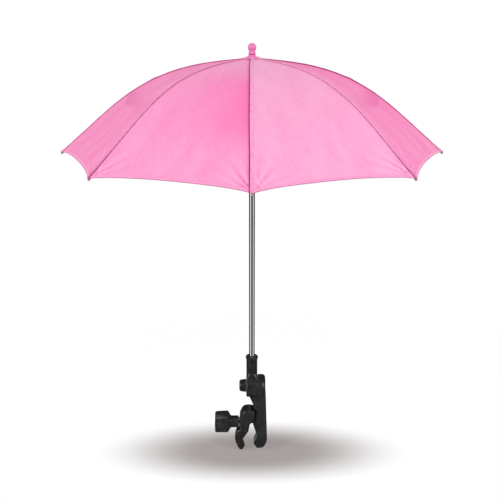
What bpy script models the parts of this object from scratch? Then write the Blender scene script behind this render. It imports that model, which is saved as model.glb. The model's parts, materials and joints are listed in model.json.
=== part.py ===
"""A stroller parasol on a clamp: a folding eight-rib canopy on a steel pole, a tilt joint and a screw clamp.

The origin is the centre of the stroller tube in the clamp, whose axis is Y. The pole stands along Z, and
the clamp knob points to -X. One loop round the pole makes the eight ribs, each with its stretcher, tip
cap and gore of cloth.
"""

import math

import bmesh
import bpy
from mathutils import Matrix, Vector

MM = 0.001
GAP = 0.3 * MM
BEYOND = 5 * MM
THROUGH = 60 * MM

# Canopy frame
RIB_COUNT = 8
RIB_LENGTH = 380 * MM
RIB_WIDTH = 2.2 * MM
RIB_HEIGHT = 2.4 * MM
RIB_CHANNEL_WIDTH = 1.2 * MM
RIB_CHANNEL_DEPTH = 1.5 * MM
RIB_STEPS = 11
TOP_SLOPE = math.radians(5.5)
TIP_SLOPE = math.radians(40.55)
BEND_START = 16 * MM
BEND_END = 298 * MM
HUB_RADIUS = 10 * MM
EYE_RADIUS = 1.9 * MM
EYE_BORE = 0.85 * MM
HINGE_DROP = 0.8 * MM
JOINT_ALONG_RIB = 165 * MM
JOINT_DROP = 1.6 * MM
RIVET_RADIUS = 1.0 * MM
RIVET_HEAD_RADIUS = 1.6 * MM
RIVET_HEAD = 0.6 * MM
RIVET_PLAY = 0.2 * MM
LUG_RADIUS = 1.9 * MM
RUNNER_DROP = 110 * MM
STRETCHER_WIDTH = 3.9 * MM
STRETCHER_HEIGHT = 3.2 * MM
STRETCHER_WALL = 0.55 * MM
TONGUE_LENGTH = 12 * MM
TONGUE_RAMP = 2 * MM
FORK_LENGTH = 5 * MM
EYE_NECK = 3 * MM
CHANNEL_CLEAR = 12 * MM
CAP_RADIUS = 2.7 * MM
CAP_LENGTH = 6.6 * MM
CAP_BEHIND_HEM = 0.5 * MM
CAP_WALL = 0.5 * MM
CAP_SLEEVE = 1.8 * MM

# Canopy cloth
CLOTH_THICKNESS = 0.6 * MM
RIB_BEYOND_CLOTH = 4.5 * MM
CLOTH_LENGTH = RIB_LENGTH - RIB_BEYOND_CLOTH
CLOTH_INSIDE = -3 * MM
CLOTH_ACROSS = 6
HEM_RISE = 3.6 * MM
CLOTH_SAG = 2.0 * MM

# Pole and what slides on it
POLE_RADIUS = 5.5 * MM
POLE_WALL = 0.8 * MM
POLE_LENGTH = 611.4 * MM
POLE_ABOVE_HINGE = 8.3 * MM
CROWN_RADIUS = 14 * MM
CROWN_ABOVE_HINGE = 1.6 * MM
CROWN_HEIGHT = 8.1 * MM
CROWN_SLEEVE_RADIUS = 8.6 * MM
CROWN_SLEEVE = 9 * MM
WIRE_RADIUS = 0.5 * MM
GROOVE_HALF = 0.9 * MM
SLOT_DEPTH_RADIUS = 7.5 * MM
PIN_RADIUS = 1.0 * MM
PIN_BELOW_HINGE = 11 * MM
RUNNER_ABOVE_PIVOT = 6.4 * MM
RUNNER_BELOW_PIVOT = 42 * MM
RUNNER_CATCH_DROP = 29.4 * MM
RUNNER_TUBE_RADIUS = 7.6 * MM
RUNNER_FLANGE_RADIUS = 9.6 * MM
RUNNER_TRAVEL = 201.6 * MM
CATCH_HALF = 1.2 * MM
CATCH_REACH = 7.4 * MM
CATCH_INNER = 2.6 * MM
CATCH_STRIP = 1.7 * MM
CATCH_RAMP = 10 * MM
CATCH_TAIL = 14 * MM
CATCH_LIP = 1.2 * MM
CATCH_ROOM = 1.5 * MM

# Finial
FINIAL_BALL = 7.5 * MM
FINIAL_NECK = POLE_RADIUS + 0.15 * MM
FINIAL_BULGE = POLE_RADIUS + 0.95 * MM
FINIAL_HEIGHT = 18.4 * MM
FINIAL_BULGE_TOP = 2 * MM
FINIAL_NECK_LOW = 5 * MM
FINIAL_NECK_TOP = 5.8 * MM
SPIGOT_LENGTH = 14 * MM
RING_RADIUS = POLE_RADIUS + 0.7 * MM
RING_THICKNESS = 1.0 * MM
COLLAR_RADIUS = 18.9 * MM
COLLAR_EDGE = 0.5 * MM
COLLAR_FLARE = ((RING_RADIUS + 1.1 * MM, 2 * MM), (RING_RADIUS + 3.4 * MM, 3.6 * MM))
COLLAR_SPREAD = 13.2 * MM

# Tilt joint
TILT_HEIGHT = 108.2 * MM
KNUCKLE_RADIUS = 22.5 * MM
KNUCKLE_LEFT = -11.1 * MM
KNUCKLE_RIGHT = 10.9 * MM
KNUCKLE_ROUND = 3 * MM
JOINT_FACE_GAP = 0.4 * MM
EAR_THICKNESS = 15.4 * MM
EAR_FILLET = 6.5 * MM
SOCKET_RADIUS = 10.8 * MM
SOCKET_LIP_RADIUS = 12 * MM
SOCKET_LIP = 5 * MM
SOCKET_TOP = 173.1 * MM
SOCKET_DEPTH = 41.1 * MM
GUSSET_HALF_DEPTH = 13 * MM
GUSSET_TOP = 31 * MM
TILT_BOLT_RADIUS = 2.9 * MM
TILT_HEAD_FLATS = 10 * MM
TILT_HEAD = 4 * MM
TILT_KNOB_RADIUS = 12.9 * MM
TILT_KNOB_END_RADIUS = 11.75 * MM
TILT_KNOB_LENGTH = 13.4 * MM
TILT_KNOB_ROUND = 4 * MM
TILT_KNOB_HOLE = 9.6 * MM
TILT_BOLT_IN_KNOB = 8.3 * MM
TILT_FLUTES = 12
TILT_FLUTE_RADIUS = 1.5 * MM
TILT_WASHER_RADIUS = 7 * MM
TILT_WASHER = 1.3 * MM

# Clamp
COLUMN_LEFT = 2.9 * MM
COLUMN_HALF_DEPTH = 18 * MM
COLUMN_FOOT_HALF_DEPTH = 13 * MM
COLUMN_EDGE = 1.2 * MM
LIP_HALF_DEPTH = 5 * MM
CRADLE_WEB_HALF = 8 * MM
JAW_PIVOT = Vector((0.7 * MM, 0, 44.7 * MM))
JAW_PIN_RADIUS = 2 * MM
TONGUE_RADIUS = 9 * MM
TONGUE_HALF = 5.7 * MM
JAW_HALF_DEPTH = 15.5 * MM
JAW_LIP_HALF_DEPTH = 5 * MM
JAW_EDGE = 3.2 * MM
SCREW_HEIGHT = 27.3 * MM
SCREW_RADIUS = 3.8 * MM
SCREW_END = 27 * MM
SCREW_IN_KNOB = 20 * MM
SLOT_ABOVE_SCREW = 7.4 * MM
SLOT_BELOW_SCREW = 9.6 * MM
JAW_FACE = -24.3 * MM
JAW_FACE_ROUND = 35 * MM
CLAMP_WASHER = 2 * MM
CLAMP_WASHER_RADIUS = 9 * MM
NECK_RADIUS = 11.9 * MM
NECK_LENGTH = 16 * MM
SHOULDER_LENGTH = 4.2 * MM
KNOB_RADIUS = 21.8 * MM
KNOB_LENGTH = 26.8 * MM
KNOB_FLUTES = 5
KNOB_TURN = math.radians(99)
FLUTE_RADIUS = 15 * MM
FLUTE_DEPTH = 4.3 * MM
NUT_FLATS = 13 * MM
NUT_THICKNESS = 6.5 * MM
NUT_LEFT = 21.5 * MM

# Heights that follow from the sizes above
POLE_BOTTOM = SOCKET_TOP - SOCKET_DEPTH + GAP
POLE_TOP = POLE_BOTTOM + POLE_LENGTH
HINGE_HEIGHT = POLE_TOP - POLE_ABOVE_HINGE
BORE = POLE_RADIUS + GAP
RIDGE_DROP = RIB_WIDTH / 2 * math.tan(math.pi / RIB_COUNT) * math.sin(TIP_SLOPE)
CLOTH_LIFT = RIB_HEIGHT / 2 + GAP + RIDGE_DROP

TO_X = Matrix.Rotation(math.pi / 2, 4, "Y")
TO_MINUS_X = Matrix.Rotation(-math.pi / 2, 4, "Y")


def clear_scene():
    for thing in list(bpy.data.objects):
        bpy.data.objects.remove(thing, do_unlink=True)


def material(name, colour, roughness, metallic=0.0):
    made = bpy.data.materials.new(name)
    made.use_nodes = True
    made.diffuse_color = (*colour, 1)
    shader = made.node_tree.nodes["Principled BSDF"]
    shader.inputs["Base Color"].default_value = (*colour, 1)
    shader.inputs["Roughness"].default_value = roughness
    shader.inputs["Metallic"].default_value = metallic
    return made


def empty(name, location, parent=None, turn=(0, 0, 0)):
    made = bpy.data.objects.new(name, None)
    made.empty_display_size = 10 * MM
    made.location = location
    made.rotation_euler = turn
    made.parent = parent
    bpy.context.collection.objects.link(made)
    return made


def add(name, mesh, finish=None, parent=None, location=(0, 0, 0), turn=(0, 0, 0)):
    made = bpy.data.objects.new(name, mesh)
    made.location = location
    made.rotation_euler = turn
    made.parent = parent
    if finish:
        mesh.materials.clear()
        mesh.materials.append(finish)
    bpy.context.collection.objects.link(made)
    return made


def finished(name, bm, turn=None):
    """A mesh from a bmesh, its faces pointing out, shaded smooth with sharp edges where it is faceted."""
    if turn:
        bmesh.ops.transform(bm, matrix=turn, verts=bm.verts)
    bmesh.ops.recalc_face_normals(bm, faces=bm.faces)
    mesh = bpy.data.meshes.new(name)
    bm.to_mesh(mesh)
    bm.free()
    mesh.shade_smooth()
    mesh.set_sharp_from_angle(angle=math.radians(35))
    return mesh


def arc(centre, radius, start, end, steps):
    """Points of a circle's arc, in degrees, ends included."""
    turns = [math.radians(start + (end - start) * i / steps) for i in range(steps + 1)]
    return [(centre[0] + radius * math.cos(a), centre[1] + radius * math.sin(a)) for a in turns]


def prism(name, outline, low, high, turn=None):
    """An outline in X and Z, drawn from Y low to Y high."""
    bm = bmesh.new()
    front = bm.faces.new([bm.verts.new((x, low, z)) for x, z in outline])
    back = bmesh.ops.extrude_face_region(bm, geom=[front])["geom"]
    moved = [part for part in back if isinstance(part, bmesh.types.BMVert)]
    bmesh.ops.translate(bm, vec=(0, high - low, 0), verts=moved)
    return finished(name, bm, turn)


def wedge(name, outline, top, foot, edge, turn=None):
    """An outline in X and Z whose half depth in Y runs evenly from top to foot, as (height, half depth)
    pairs, with its front and back edges chamfered."""
    bm = bmesh.new()
    fall = (top[1] - foot[1]) / (top[0] - foot[0])
    rings = []
    for side in (-1, 1):
        depths = [(foot[1] + (z - foot[0]) * fall - 0.75 * edge) * side for x, z in outline]
        rings.append([bm.verts.new((x, y, z)) for (x, z), y in zip(outline, depths)])
    near, far = rings
    for i in range(len(outline)):
        k = (i + 1) % len(outline)
        bm.faces.new((near[i], near[k], far[k], far[i]))
    caps = [bm.faces.new(near), bm.faces.new(far)]
    bmesh.ops.recalc_face_normals(bm, faces=bm.faces)
    for cap in caps:
        bmesh.ops.inset_region(bm, faces=[cap], thickness=edge, depth=0.75 * edge)
    return finished(name, bm, turn)


def side_prism(name, outline, low, high):
    """An outline in Y and Z, drawn from X low to X high."""
    return prism(name, outline, -high, -low, Matrix.Rotation(math.pi / 2, 4, "Z"))


def turned(name, profile, steps, ring=False, turn=None):
    """A profile of radius and height turned about Z. A ring's profile closes on itself."""
    bm = bmesh.new()
    verts = [bm.verts.new((r, 0, z)) for r, z in profile]
    edges = [bm.edges.new(pair) for pair in zip(verts, verts[1:])]
    if ring:
        edges.append(bm.edges.new((verts[-1], verts[0])))
    spun = {"geom": verts + edges, "axis": (0, 0, 1), "cent": (0, 0, 0)}
    bmesh.ops.spin(bm, **spun, angle=math.tau, steps=steps, use_merge=True)
    bmesh.ops.remove_doubles(bm, verts=bm.verts, dist=0.001 * MM)
    centres = [v for v in bm.verts if v.co.xy.length < 0.001 * MM]
    flat = [v for v in centres if all(abs(e.other_vert(v).co.z - v.co.z) < 0.001 * MM for e in v.link_edges)]
    bmesh.ops.dissolve_verts(bm, verts=flat)
    return finished(name, bm, turn)


def rod(name, radius, low, high, steps=24, turn=None):
    return turned(name, [(0, low), (radius, low), (radius, high), (0, high)], steps, turn=turn)


def hexagon(name, flats, low, high, turn=None):
    corner = flats / 2 / math.cos(math.pi / 6)
    return turned(name, [(0, low), (corner, low), (corner, high), (0, high)], 6, turn=turn)


def box(name, low, high):
    outline = [(low[0], low[2]), (high[0], low[2]), (high[0], high[2]), (low[0], high[2])]
    return prism(name, outline, low[1], high[1])


def helper(mesh, beside, location=(0, 0, 0), turn=(0, 0, 0)):
    """A shape that only cuts or joins another object, in that object's own frame."""
    made = add("tool_" + mesh.name, mesh, parent=beside, location=location, turn=turn)
    made.hide_render = True
    made.display_type = "WIRE"
    return made


def combine(target, mesh, operation, location=(0, 0, 0), turn=(0, 0, 0)):
    change = target.modifiers.new(mesh.name, "BOOLEAN")
    change.operation = operation
    change.solver = "EXACT"
    change.object = helper(mesh, target, location, turn)


def cut(target, mesh, location=(0, 0, 0), turn=(0, 0, 0)):
    combine(target, mesh, "DIFFERENCE", location, turn)


def join(target, mesh, location=(0, 0, 0), turn=(0, 0, 0)):
    combine(target, mesh, "UNION", location, turn)


def baked(target):
    """The mesh of an object with its modifiers applied, for the copies that share it. The object goes."""
    graph = bpy.context.evaluated_depsgraph_get()
    mesh = bpy.data.meshes.new_from_object(target.evaluated_get(graph))
    for tool in list(target.children):
        bpy.data.objects.remove(tool, do_unlink=True)
    bpy.data.objects.remove(target, do_unlink=True)
    return mesh


def rib_slope(along):
    t = min(max((along - BEND_START) / (BEND_END - BEND_START), 0), 1)
    return TOP_SLOPE + (TIP_SLOPE - TOP_SLOPE) * t * t * (3 - 2 * t)


def rib_point(along, lift=0.0):
    """A point beside the rib's centre line, from the rib's hinge, outwards and up. Lift is off its back."""
    steps = 80
    step = along / steps
    slopes = [rib_slope(step * (i + 0.5)) for i in range(steps)]
    outward = sum(math.cos(a) for a in slopes) * step
    down = sum(math.sin(a) for a in slopes) * step
    end = rib_slope(along)
    return Vector((outward + lift * math.sin(end), 0, HINGE_DROP - down + lift * math.cos(end)))


def rib_stations():
    """How far along the rib its facets meet, which the cloth over it shares."""
    return [RIB_LENGTH * i / RIB_STEPS for i in range(RIB_STEPS + 1)]


JOINT = rib_point(JOINT_ALONG_RIB, -JOINT_DROP)
RUNNER_PIVOT = Vector((0, 0, JOINT.z - RUNNER_DROP))
STRETCHER_LENGTH = (RUNNER_PIVOT - JOINT).length
STRETCHER_TURN = math.atan2(-(RUNNER_PIVOT - JOINT).z, (RUNNER_PIVOT - JOINT).x)
RUNNER_HEIGHT = HINGE_HEIGHT + RUNNER_PIVOT.z


def make_materials():
    return {
        "cloth": material("pink_cloth", (0.90, 0.36, 0.58), 0.75),
        "trim": material("dark_pink_plastic", (0.62, 0.10, 0.30), 0.45),
        "finial": material("pink_plastic", (0.85, 0.25, 0.50), 0.35),
        "chrome": material("chromed_steel", (0.62, 0.62, 0.62), 0.18, 1.0),
        "steel": material("zinc_steel", (0.50, 0.50, 0.50), 0.35, 1.0),
        "spring": material("spring_steel", (0.40, 0.41, 0.43), 0.3, 1.0),
        "black": material("black_plastic", (0.018, 0.018, 0.018), 0.45),
        "white": material("pale_plastic", (0.70, 0.66, 0.66), 0.5),
    }


def notched_head(above, below, groove_up):
    """A slotted hub's head about its pivot, as radius and height, with the groove for the ring wire."""
    near, far = HUB_RADIUS - GROOVE_HALF, HUB_RADIUS + GROOVE_HALF
    if groove_up:
        return [
            (near, above),
            (near, -GROOVE_HALF),
            (far, -GROOVE_HALF),
            (far, above),
            (CROWN_RADIUS - 1 * MM, above),
            (CROWN_RADIUS, above - 1 * MM),
            (CROWN_RADIUS, -below),
        ]
    return [
        (CROWN_RADIUS - 1.5 * MM, above),
        (CROWN_RADIUS, above - 1.5 * MM),
        (CROWN_RADIUS, -below),
        (far, -below),
        (far, GROOVE_HALF),
        (near, GROOVE_HALF),
        (near, -below),
    ]


def cut_slots(hub, below, above):
    """A radial slot for each rib or stretcher, open outwards, above and below."""
    half = RIB_WIDTH / 2 + GAP
    for i in range(RIB_COUNT):
        slot = box(f"slot_{i}", (SLOT_DEPTH_RADIUS, -half, below), (CROWN_RADIUS + BEYOND, half, above))
        cut(hub, slot, turn=(0, 0, rib_azimuth(i)))


def rib_azimuth(i):
    return math.radians(-90 + 360 / RIB_COUNT * i)


def make_pole(finish, parent):
    low, high = POLE_BOTTOM - TILT_HEIGHT, POLE_TOP - TILT_HEIGHT
    inner = POLE_RADIUS - POLE_WALL
    profile = [(POLE_RADIUS, low), (POLE_RADIUS, high), (inner, high), (inner, low)]
    pole = add("pole", turned("pole", profile, 36, ring=True), finish, parent)
    pin_height = HINGE_HEIGHT - PIN_BELOW_HINGE - TILT_HEIGHT
    across = rod("pin_hole", PIN_RADIUS + GAP, -3 * POLE_RADIUS, 3 * POLE_RADIUS, 12, TO_X)
    cut(pole, across, (0, 0, pin_height))
    half = CATCH_HALF + GAP
    for name, height, way in catch_places():
        ends = sorted((height + GAP * way, height - (CATCH_RAMP + 4 * GAP) * way))
        window = box(f"{name}_window", (-half, 0, ends[0]), (half, 2 * POLE_RADIUS, ends[1]))
        cut(pole, window, (0, 0, -TILT_HEIGHT))
    return pole


def catch_places():
    """Each catch's name, the height of its flat, and which way the flat faces, up or down."""
    open_stop = RUNNER_HEIGHT - RUNNER_BELOW_PIVOT - GAP
    closed_stop = RUNNER_HEIGHT - RUNNER_TRAVEL - RUNNER_CATCH_DROP
    return (("top_catch", open_stop, 1), ("bottom_catch", closed_stop, -1))


def make_catches(finish, parent):
    outer = CATCH_INNER + CATCH_STRIP
    for name, height, way in catch_places():
        outline = [
            (CATCH_INNER, 0),
            (CATCH_REACH, 0),
            (CATCH_REACH, -CATCH_LIP * way),
            (outer, -CATCH_RAMP * way),
            (outer, -(CATCH_RAMP + CATCH_TAIL) * way),
            (CATCH_INNER, -(CATCH_RAMP + CATCH_TAIL) * way),
        ]
        add(name, side_prism(name, outline, -CATCH_HALF, CATCH_HALF), finish, parent,
            (0, 0, height - TILT_HEIGHT))


def make_crown(finish, parent):
    """The top notch: a slotted head over a sleeve that is pinned to the pole."""
    below = CROWN_HEIGHT - CROWN_ABOVE_HINGE
    foot = -below - CROWN_SLEEVE
    profile = [(BORE, CROWN_ABOVE_HINGE)] + notched_head(CROWN_ABOVE_HINGE, below, True)
    profile += [(CROWN_SLEEVE_RADIUS, -below), (CROWN_SLEEVE_RADIUS, foot), (BORE, foot)]
    height = HINGE_HEIGHT - TILT_HEIGHT
    crown = add("crown", turned("crown", profile, 32, ring=True), finish, parent, (0, 0, height))
    cut_slots(crown, -below - BEYOND, CROWN_ABOVE_HINGE + BEYOND)
    reach = 2 * CROWN_SLEEVE_RADIUS
    cut(crown, rod("crown_pin_hole", PIN_RADIUS + GAP, -reach, reach, 12, TO_X), (0, 0, -PIN_BELOW_HINGE))


def make_crown_pin(finish, parent):
    half = CROWN_SLEEVE_RADIUS - GAP
    pin = rod("crown_pin", PIN_RADIUS, -half, half, 12, TO_X)
    add("crown_pin", pin, finish, parent, (0, 0, HINGE_HEIGHT - PIN_BELOW_HINGE - TILT_HEIGHT))


def ring_wire(name, finish, parent, location):
    profile = arc((HUB_RADIUS, 0), WIRE_RADIUS, 0, 288, 4)
    add(name, turned(name, profile, 24, ring=True), finish, parent, location)


def make_runner(finish, parent):
    """The sliding hub: a slotted head, a sleeve with a window for the lower catch, and a thumb flange."""
    foot = -RUNNER_BELOW_PIVOT
    profile = [(BORE, RUNNER_ABOVE_PIVOT)] + notched_head(RUNNER_ABOVE_PIVOT, CROWN_ABOVE_HINGE, False)
    profile += [
        (RUNNER_TUBE_RADIUS, -CROWN_ABOVE_HINGE),
        (RUNNER_TUBE_RADIUS, foot + 5 * MM),
        (RUNNER_FLANGE_RADIUS, foot + 3 * MM),
        (RUNNER_FLANGE_RADIUS, foot + 1 * MM),
        (RUNNER_FLANGE_RADIUS - 1 * MM, foot),
        (BORE, foot),
    ]
    runner = add("runner", turned("runner", profile, 32, ring=True), finish, parent)
    cut_slots(runner, -CROWN_ABOVE_HINGE - BEYOND, RUNNER_ABOVE_PIVOT + BEYOND)
    half = CATCH_HALF + GAP
    stop = -RUNNER_CATCH_DROP - CATCH_ROOM
    window = box("runner_window", (-half, 0, stop), (half, 2 * RUNNER_TUBE_RADIUS, stop + CATCH_RAMP))
    cut(runner, window)


def rib_mesh():
    """A channel-section rib in its own frame: hinge at the origin, outwards along X."""
    half_height, half_width = RIB_HEIGHT / 2, RIB_WIDTH / 2
    stations = rib_stations()
    back = [rib_point(s, half_height) for s in stations]
    belly = [rib_point(s, -half_height) for s in stations]
    outline = [(p.x, p.z) for p in back + belly[::-1]]
    rib = add("rib_master", prism("rib", outline, -half_width, half_width))
    join(rib, prism("rib_eye", arc((0, 0), EYE_RADIUS, 0, 315, 7), -half_width, half_width))
    lug = arc((JOINT.x, JOINT.z), LUG_RADIUS, 0, 315, 7)
    join(rib, prism("rib_lug", lug, -half_width, half_width))
    inside = STRETCHER_WIDTH / 2 + RIVET_PLAY
    shank = inside + RIVET_HEAD
    upright = Matrix.Rotation(math.pi / 2, 4, "X")
    within = (inside + shank) / 2
    join(rib, rod("rivet", RIVET_RADIUS, -within, within, 8, upright), JOINT)
    join(rib, rod("rivet_head_a", RIVET_HEAD_RADIUS, inside, shank, 10, upright), JOINT)
    join(rib, rod("rivet_head_b", RIVET_HEAD_RADIUS, -shank, -inside, 10, upright), JOINT)
    floor = RIB_CHANNEL_DEPTH - half_height
    clear = CHANNEL_CLEAR
    runs = ((clear, JOINT_ALONG_RIB - clear), (JOINT_ALONG_RIB + clear, RIB_LENGTH - clear))
    for first, last in runs:
        run = [first] + [s for s in stations if first < s < last] + [last]
        top = [rib_point(s, floor) for s in run]
        low = [rib_point(s, -2 * RIB_HEIGHT) for s in run]
        channel = [(p.x, p.z) for p in top + low[::-1]]
        half = RIB_CHANNEL_WIDTH / 2
        cut(rib, prism("rib_channel", channel, -half, half))
    cut(rib, rod("rib_eye_hole", EYE_BORE, -RIB_WIDTH, RIB_WIDTH, 8, upright))
    return baked(rib)


def stretcher_mesh():
    """A channel stretcher in its own frame: rib joint at the origin, runner eye along X, open towards +Z."""
    half, outer = STRETCHER_HEIGHT / 2, STRETCHER_WIDTH / 2
    inner = outer - STRETCHER_WALL
    length = STRETCHER_LENGTH
    outline = arc((0, 0), EYE_RADIUS + 0.3 * MM, 130, 230, 6)
    outline += [(EYE_NECK, -half), (length - EYE_NECK, -half)]
    outline += arc((length, 0), EYE_RADIUS, -70, 70, 6)
    outline += [(length - EYE_NECK, half), (EYE_NECK, half)]
    bar = add("stretcher_master", prism("stretcher", outline, -outer, outer))
    channel_end = length - TONGUE_LENGTH - TONGUE_RAMP
    floor = STRETCHER_WALL - half
    cut(bar, box("stretcher_channel", (-BEYOND, -inner, floor), (channel_end, inner, BEYOND)))
    cut(bar, box("stretcher_fork", (-BEYOND, -inner, -BEYOND), (FORK_LENGTH, inner, BEYOND + 1 * MM)))
    thin, wide = RIB_WIDTH / 2, outer + BEYOND
    for name, low, high in (("a", thin, wide), ("b", -wide, -thin)):
        start = (length - TONGUE_LENGTH, low, -BEYOND)
        cut(bar, box(f"stretcher_tongue_{name}", start, (length + BEYOND, high, BEYOND)))
    upright = Matrix.Rotation(math.pi / 2, 4, "X")
    rivet_hole = RIVET_RADIUS + GAP
    cut(bar, rod("stretcher_hole", rivet_hole, -2 * outer, 2 * outer, 10, upright))
    cut(bar, rod("stretcher_eye", EYE_BORE, -2 * outer, 2 * outer, 8, upright), (length, 0, 0))
    return baked(bar)


def cap_mesh():
    """A ball-ended cap with a blind hole for the rib's end, opening at the origin and pointing along Z."""
    sides = 10
    bore = (math.hypot(RIB_WIDTH, RIB_HEIGHT) / 2 + GAP) / math.cos(math.pi / sides)
    sleeve = bore + CAP_WALL
    ball = CAP_LENGTH - CAP_RADIUS
    depth = RIB_LENGTH - CLOTH_LENGTH - CAP_BEHIND_HEM + GAP
    profile = [(0, depth), (bore, depth), (bore, 0), (sleeve, 0), (sleeve, CAP_SLEEVE)]
    profile += [(x, z) for x, z in arc((0, ball), CAP_RADIUS, -25, 90, 4)]
    return turned("tip_cap", profile, sides)


def gore_mesh():
    """One gore of cloth over the bay from a rib at azimuth 0 to the next, with its hem drawn up between."""
    turn = math.tau / RIB_COUNT
    seam = Matrix.Rotation(turn, 3, "Z")
    bm = bmesh.new()
    sheets = []
    for lift in (CLOTH_LIFT, CLOTH_LIFT + CLOTH_THICKNESS):
        rows = []
        for station in [CLOTH_INSIDE] + rib_stations()[:-1] + [CLOTH_LENGTH]:
            share = max(station / CLOTH_LENGTH, 0)
            row = []
            for j in range(CLOTH_ACROSS + 1):
                across = j / CLOTH_ACROSS
                bow = 4 * across * (1 - across)
                near = rib_point(station - HEM_RISE * bow * share**3, lift)
                near.x += HUB_RADIUS
                near.y = GAP / 2
                far = seam @ Vector((near.x, -near.y, near.z))
                point = near.lerp(far, across)
                point.z -= CLOTH_SAG * bow * math.sin(math.pi * share)
                row.append(bm.verts.new(point))
            rows.append(row)
        sheets.append(rows)
    low, high = sheets
    last = len(low) - 1
    for i in range(last):
        for j in range(CLOTH_ACROSS):
            for rows in sheets:
                bm.faces.new((rows[i][j], rows[i][j + 1], rows[i + 1][j + 1], rows[i + 1][j]))
    loops = [
        [(i, 0) for i in range(last + 1)],
        [(last, j) for j in range(CLOTH_ACROSS + 1)],
        [(i, CLOTH_ACROSS) for i in range(last, -1, -1)],
        [(0, j) for j in range(CLOTH_ACROSS, -1, -1)],
    ]
    for side in loops:
        for (i, j), (k, m) in zip(side, side[1:]):
            bm.faces.new((low[i][j], low[k][m], high[k][m], high[i][j]))
    return finished("gore", bm)


def make_canopy(finishes, parent):
    """The ribs with their stretchers, caps and gores, each rib on its own hinge round the crown."""
    rib, stretcher, cap, gore = rib_mesh(), stretcher_mesh(), cap_mesh(), gore_mesh()
    cap_start = rib_point(CLOTH_LENGTH + CAP_BEHIND_HEM)
    cap_turn = (0, math.pi / 2 + TIP_SLOPE, 0)
    for i in range(RIB_COUNT):
        azimuth = rib_azimuth(i)
        out = Vector((math.cos(azimuth), math.sin(azimuth), 0))
        place = out * HUB_RADIUS + Vector((0, 0, HINGE_HEIGHT - TILT_HEIGHT))
        hinge = empty(f"rib_{i + 1}_hinge", place, parent, (0, 0, azimuth))
        add(f"rib_{i + 1}", rib, finishes["steel"], hinge)
        add(f"tip_cap_{i + 1}", cap, finishes["white"], hinge, cap_start, cap_turn)
        joint = empty(f"stretcher_{i + 1}_hinge", JOINT, hinge, (0, STRETCHER_TURN, 0))
        add(f"stretcher_{i + 1}", stretcher, finishes["steel"], joint)
        seat = (0, 0, HINGE_HEIGHT - TILT_HEIGHT)
        add(f"gore_{i + 1}", gore, finishes["cloth"], parent, seat, (0, 0, azimuth))


def make_finial(finishes, parent):
    """The ball-ended finial and its ring over the gathered collar of cloth on the pole."""
    base = POLE_TOP + 2 * GAP + RING_THICKNESS + GAP
    top = base + FINIAL_HEIGHT
    ball = top - FINIAL_BALL
    spigot = POLE_RADIUS - POLE_WALL - GAP
    profile = [
        (0, base - SPIGOT_LENGTH),
        (spigot - 0.8 * MM, base - SPIGOT_LENGTH),
        (spigot, base - SPIGOT_LENGTH + 1 * MM),
        (spigot, base),
        (FINIAL_BULGE - 0.5 * MM, base),
        (FINIAL_BULGE, base + 0.6 * MM),
        (FINIAL_BULGE, base + FINIAL_BULGE_TOP),
        (FINIAL_NECK, base + FINIAL_NECK_LOW),
        (FINIAL_NECK, base + FINIAL_NECK_TOP),
    ]
    profile += arc((0, ball), FINIAL_BALL, -38, 90, 8)
    place = (0, 0, -TILT_HEIGHT)
    add("finial", turned("finial", profile, 24), finishes["finial"], parent, place)
    ring_low = base - GAP - RING_THICKNESS
    ring = [
        (spigot + GAP, ring_low),
        (RING_RADIUS, ring_low),
        (RING_RADIUS, ring_low + RING_THICKNESS),
        (spigot + GAP, ring_low + RING_THICKNESS),
    ]
    add("finial_washer", turned("finial_washer", ring, 24, ring=True), finishes["trim"], parent, place)
    collar_top = ring_low - GAP
    under = HINGE_HEIGHT + HINGE_DROP + CLOTH_LIFT + CLOTH_THICKNESS + GAP
    fall = math.tan(TOP_SLOPE)
    skirt_low = under - (COLLAR_RADIUS - HUB_RADIUS) * fall
    profile = [(BORE, collar_top), (RING_RADIUS + GAP, collar_top)]
    profile += [(radius, collar_top - drop) for radius, drop in COLLAR_FLARE]
    profile += [
        (COLLAR_SPREAD, under + COLLAR_EDGE),
        (COLLAR_RADIUS, skirt_low + COLLAR_EDGE),
        (COLLAR_RADIUS, skirt_low),
        (HUB_RADIUS, under),
        (BORE, under + (HUB_RADIUS - BORE) * fall),
    ]
    add("cloth_collar", turned("cloth_collar", profile, 24, ring=True), finishes["cloth"], parent, place)


def make_socket(finish, parent):
    """The pole's socket, a tube that flares into the left half of the tilt joint."""
    radius, rise = KNUCKLE_RADIUS, KNUCKLE_ROUND
    left, right = KNUCKLE_LEFT, KNUCKLE_RIGHT
    disc = [(0, left), (radius - rise, left)]
    disc += arc((radius - rise, left + rise), rise, -90, 0, 4)[1:]
    disc += arc((radius - 1 * MM, right - 1 * MM), 1 * MM, 0, 90, 2)
    disc += [(0, right)]
    socket = add("socket", turned("socket", disc, 40, turn=TO_X), finish, parent)
    top = SOCKET_TOP - TILT_HEIGHT
    lip = SOCKET_LIP_RADIUS
    profile = [(0, 0), (SOCKET_RADIUS, 0), (SOCKET_RADIUS, top - SOCKET_LIP - 0.8 * MM)]
    profile += [(lip, top - SOCKET_LIP), (lip, top - 1.2 * MM), (lip - 1.2 * MM, top), (0, top)]
    join(socket, turned("socket_tube", profile, 24))
    join(socket, gusset_mesh())
    depth = POLE_BOTTOM - GAP - TILT_HEIGHT
    cut(socket, rod("socket_bore", BORE, depth, top + BEYOND, 24))
    hole = TILT_BOLT_RADIUS + GAP
    cut(socket, rod("socket_bolt_hole", hole, left - BEYOND, right + BEYOND, 24, TO_X))


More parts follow.
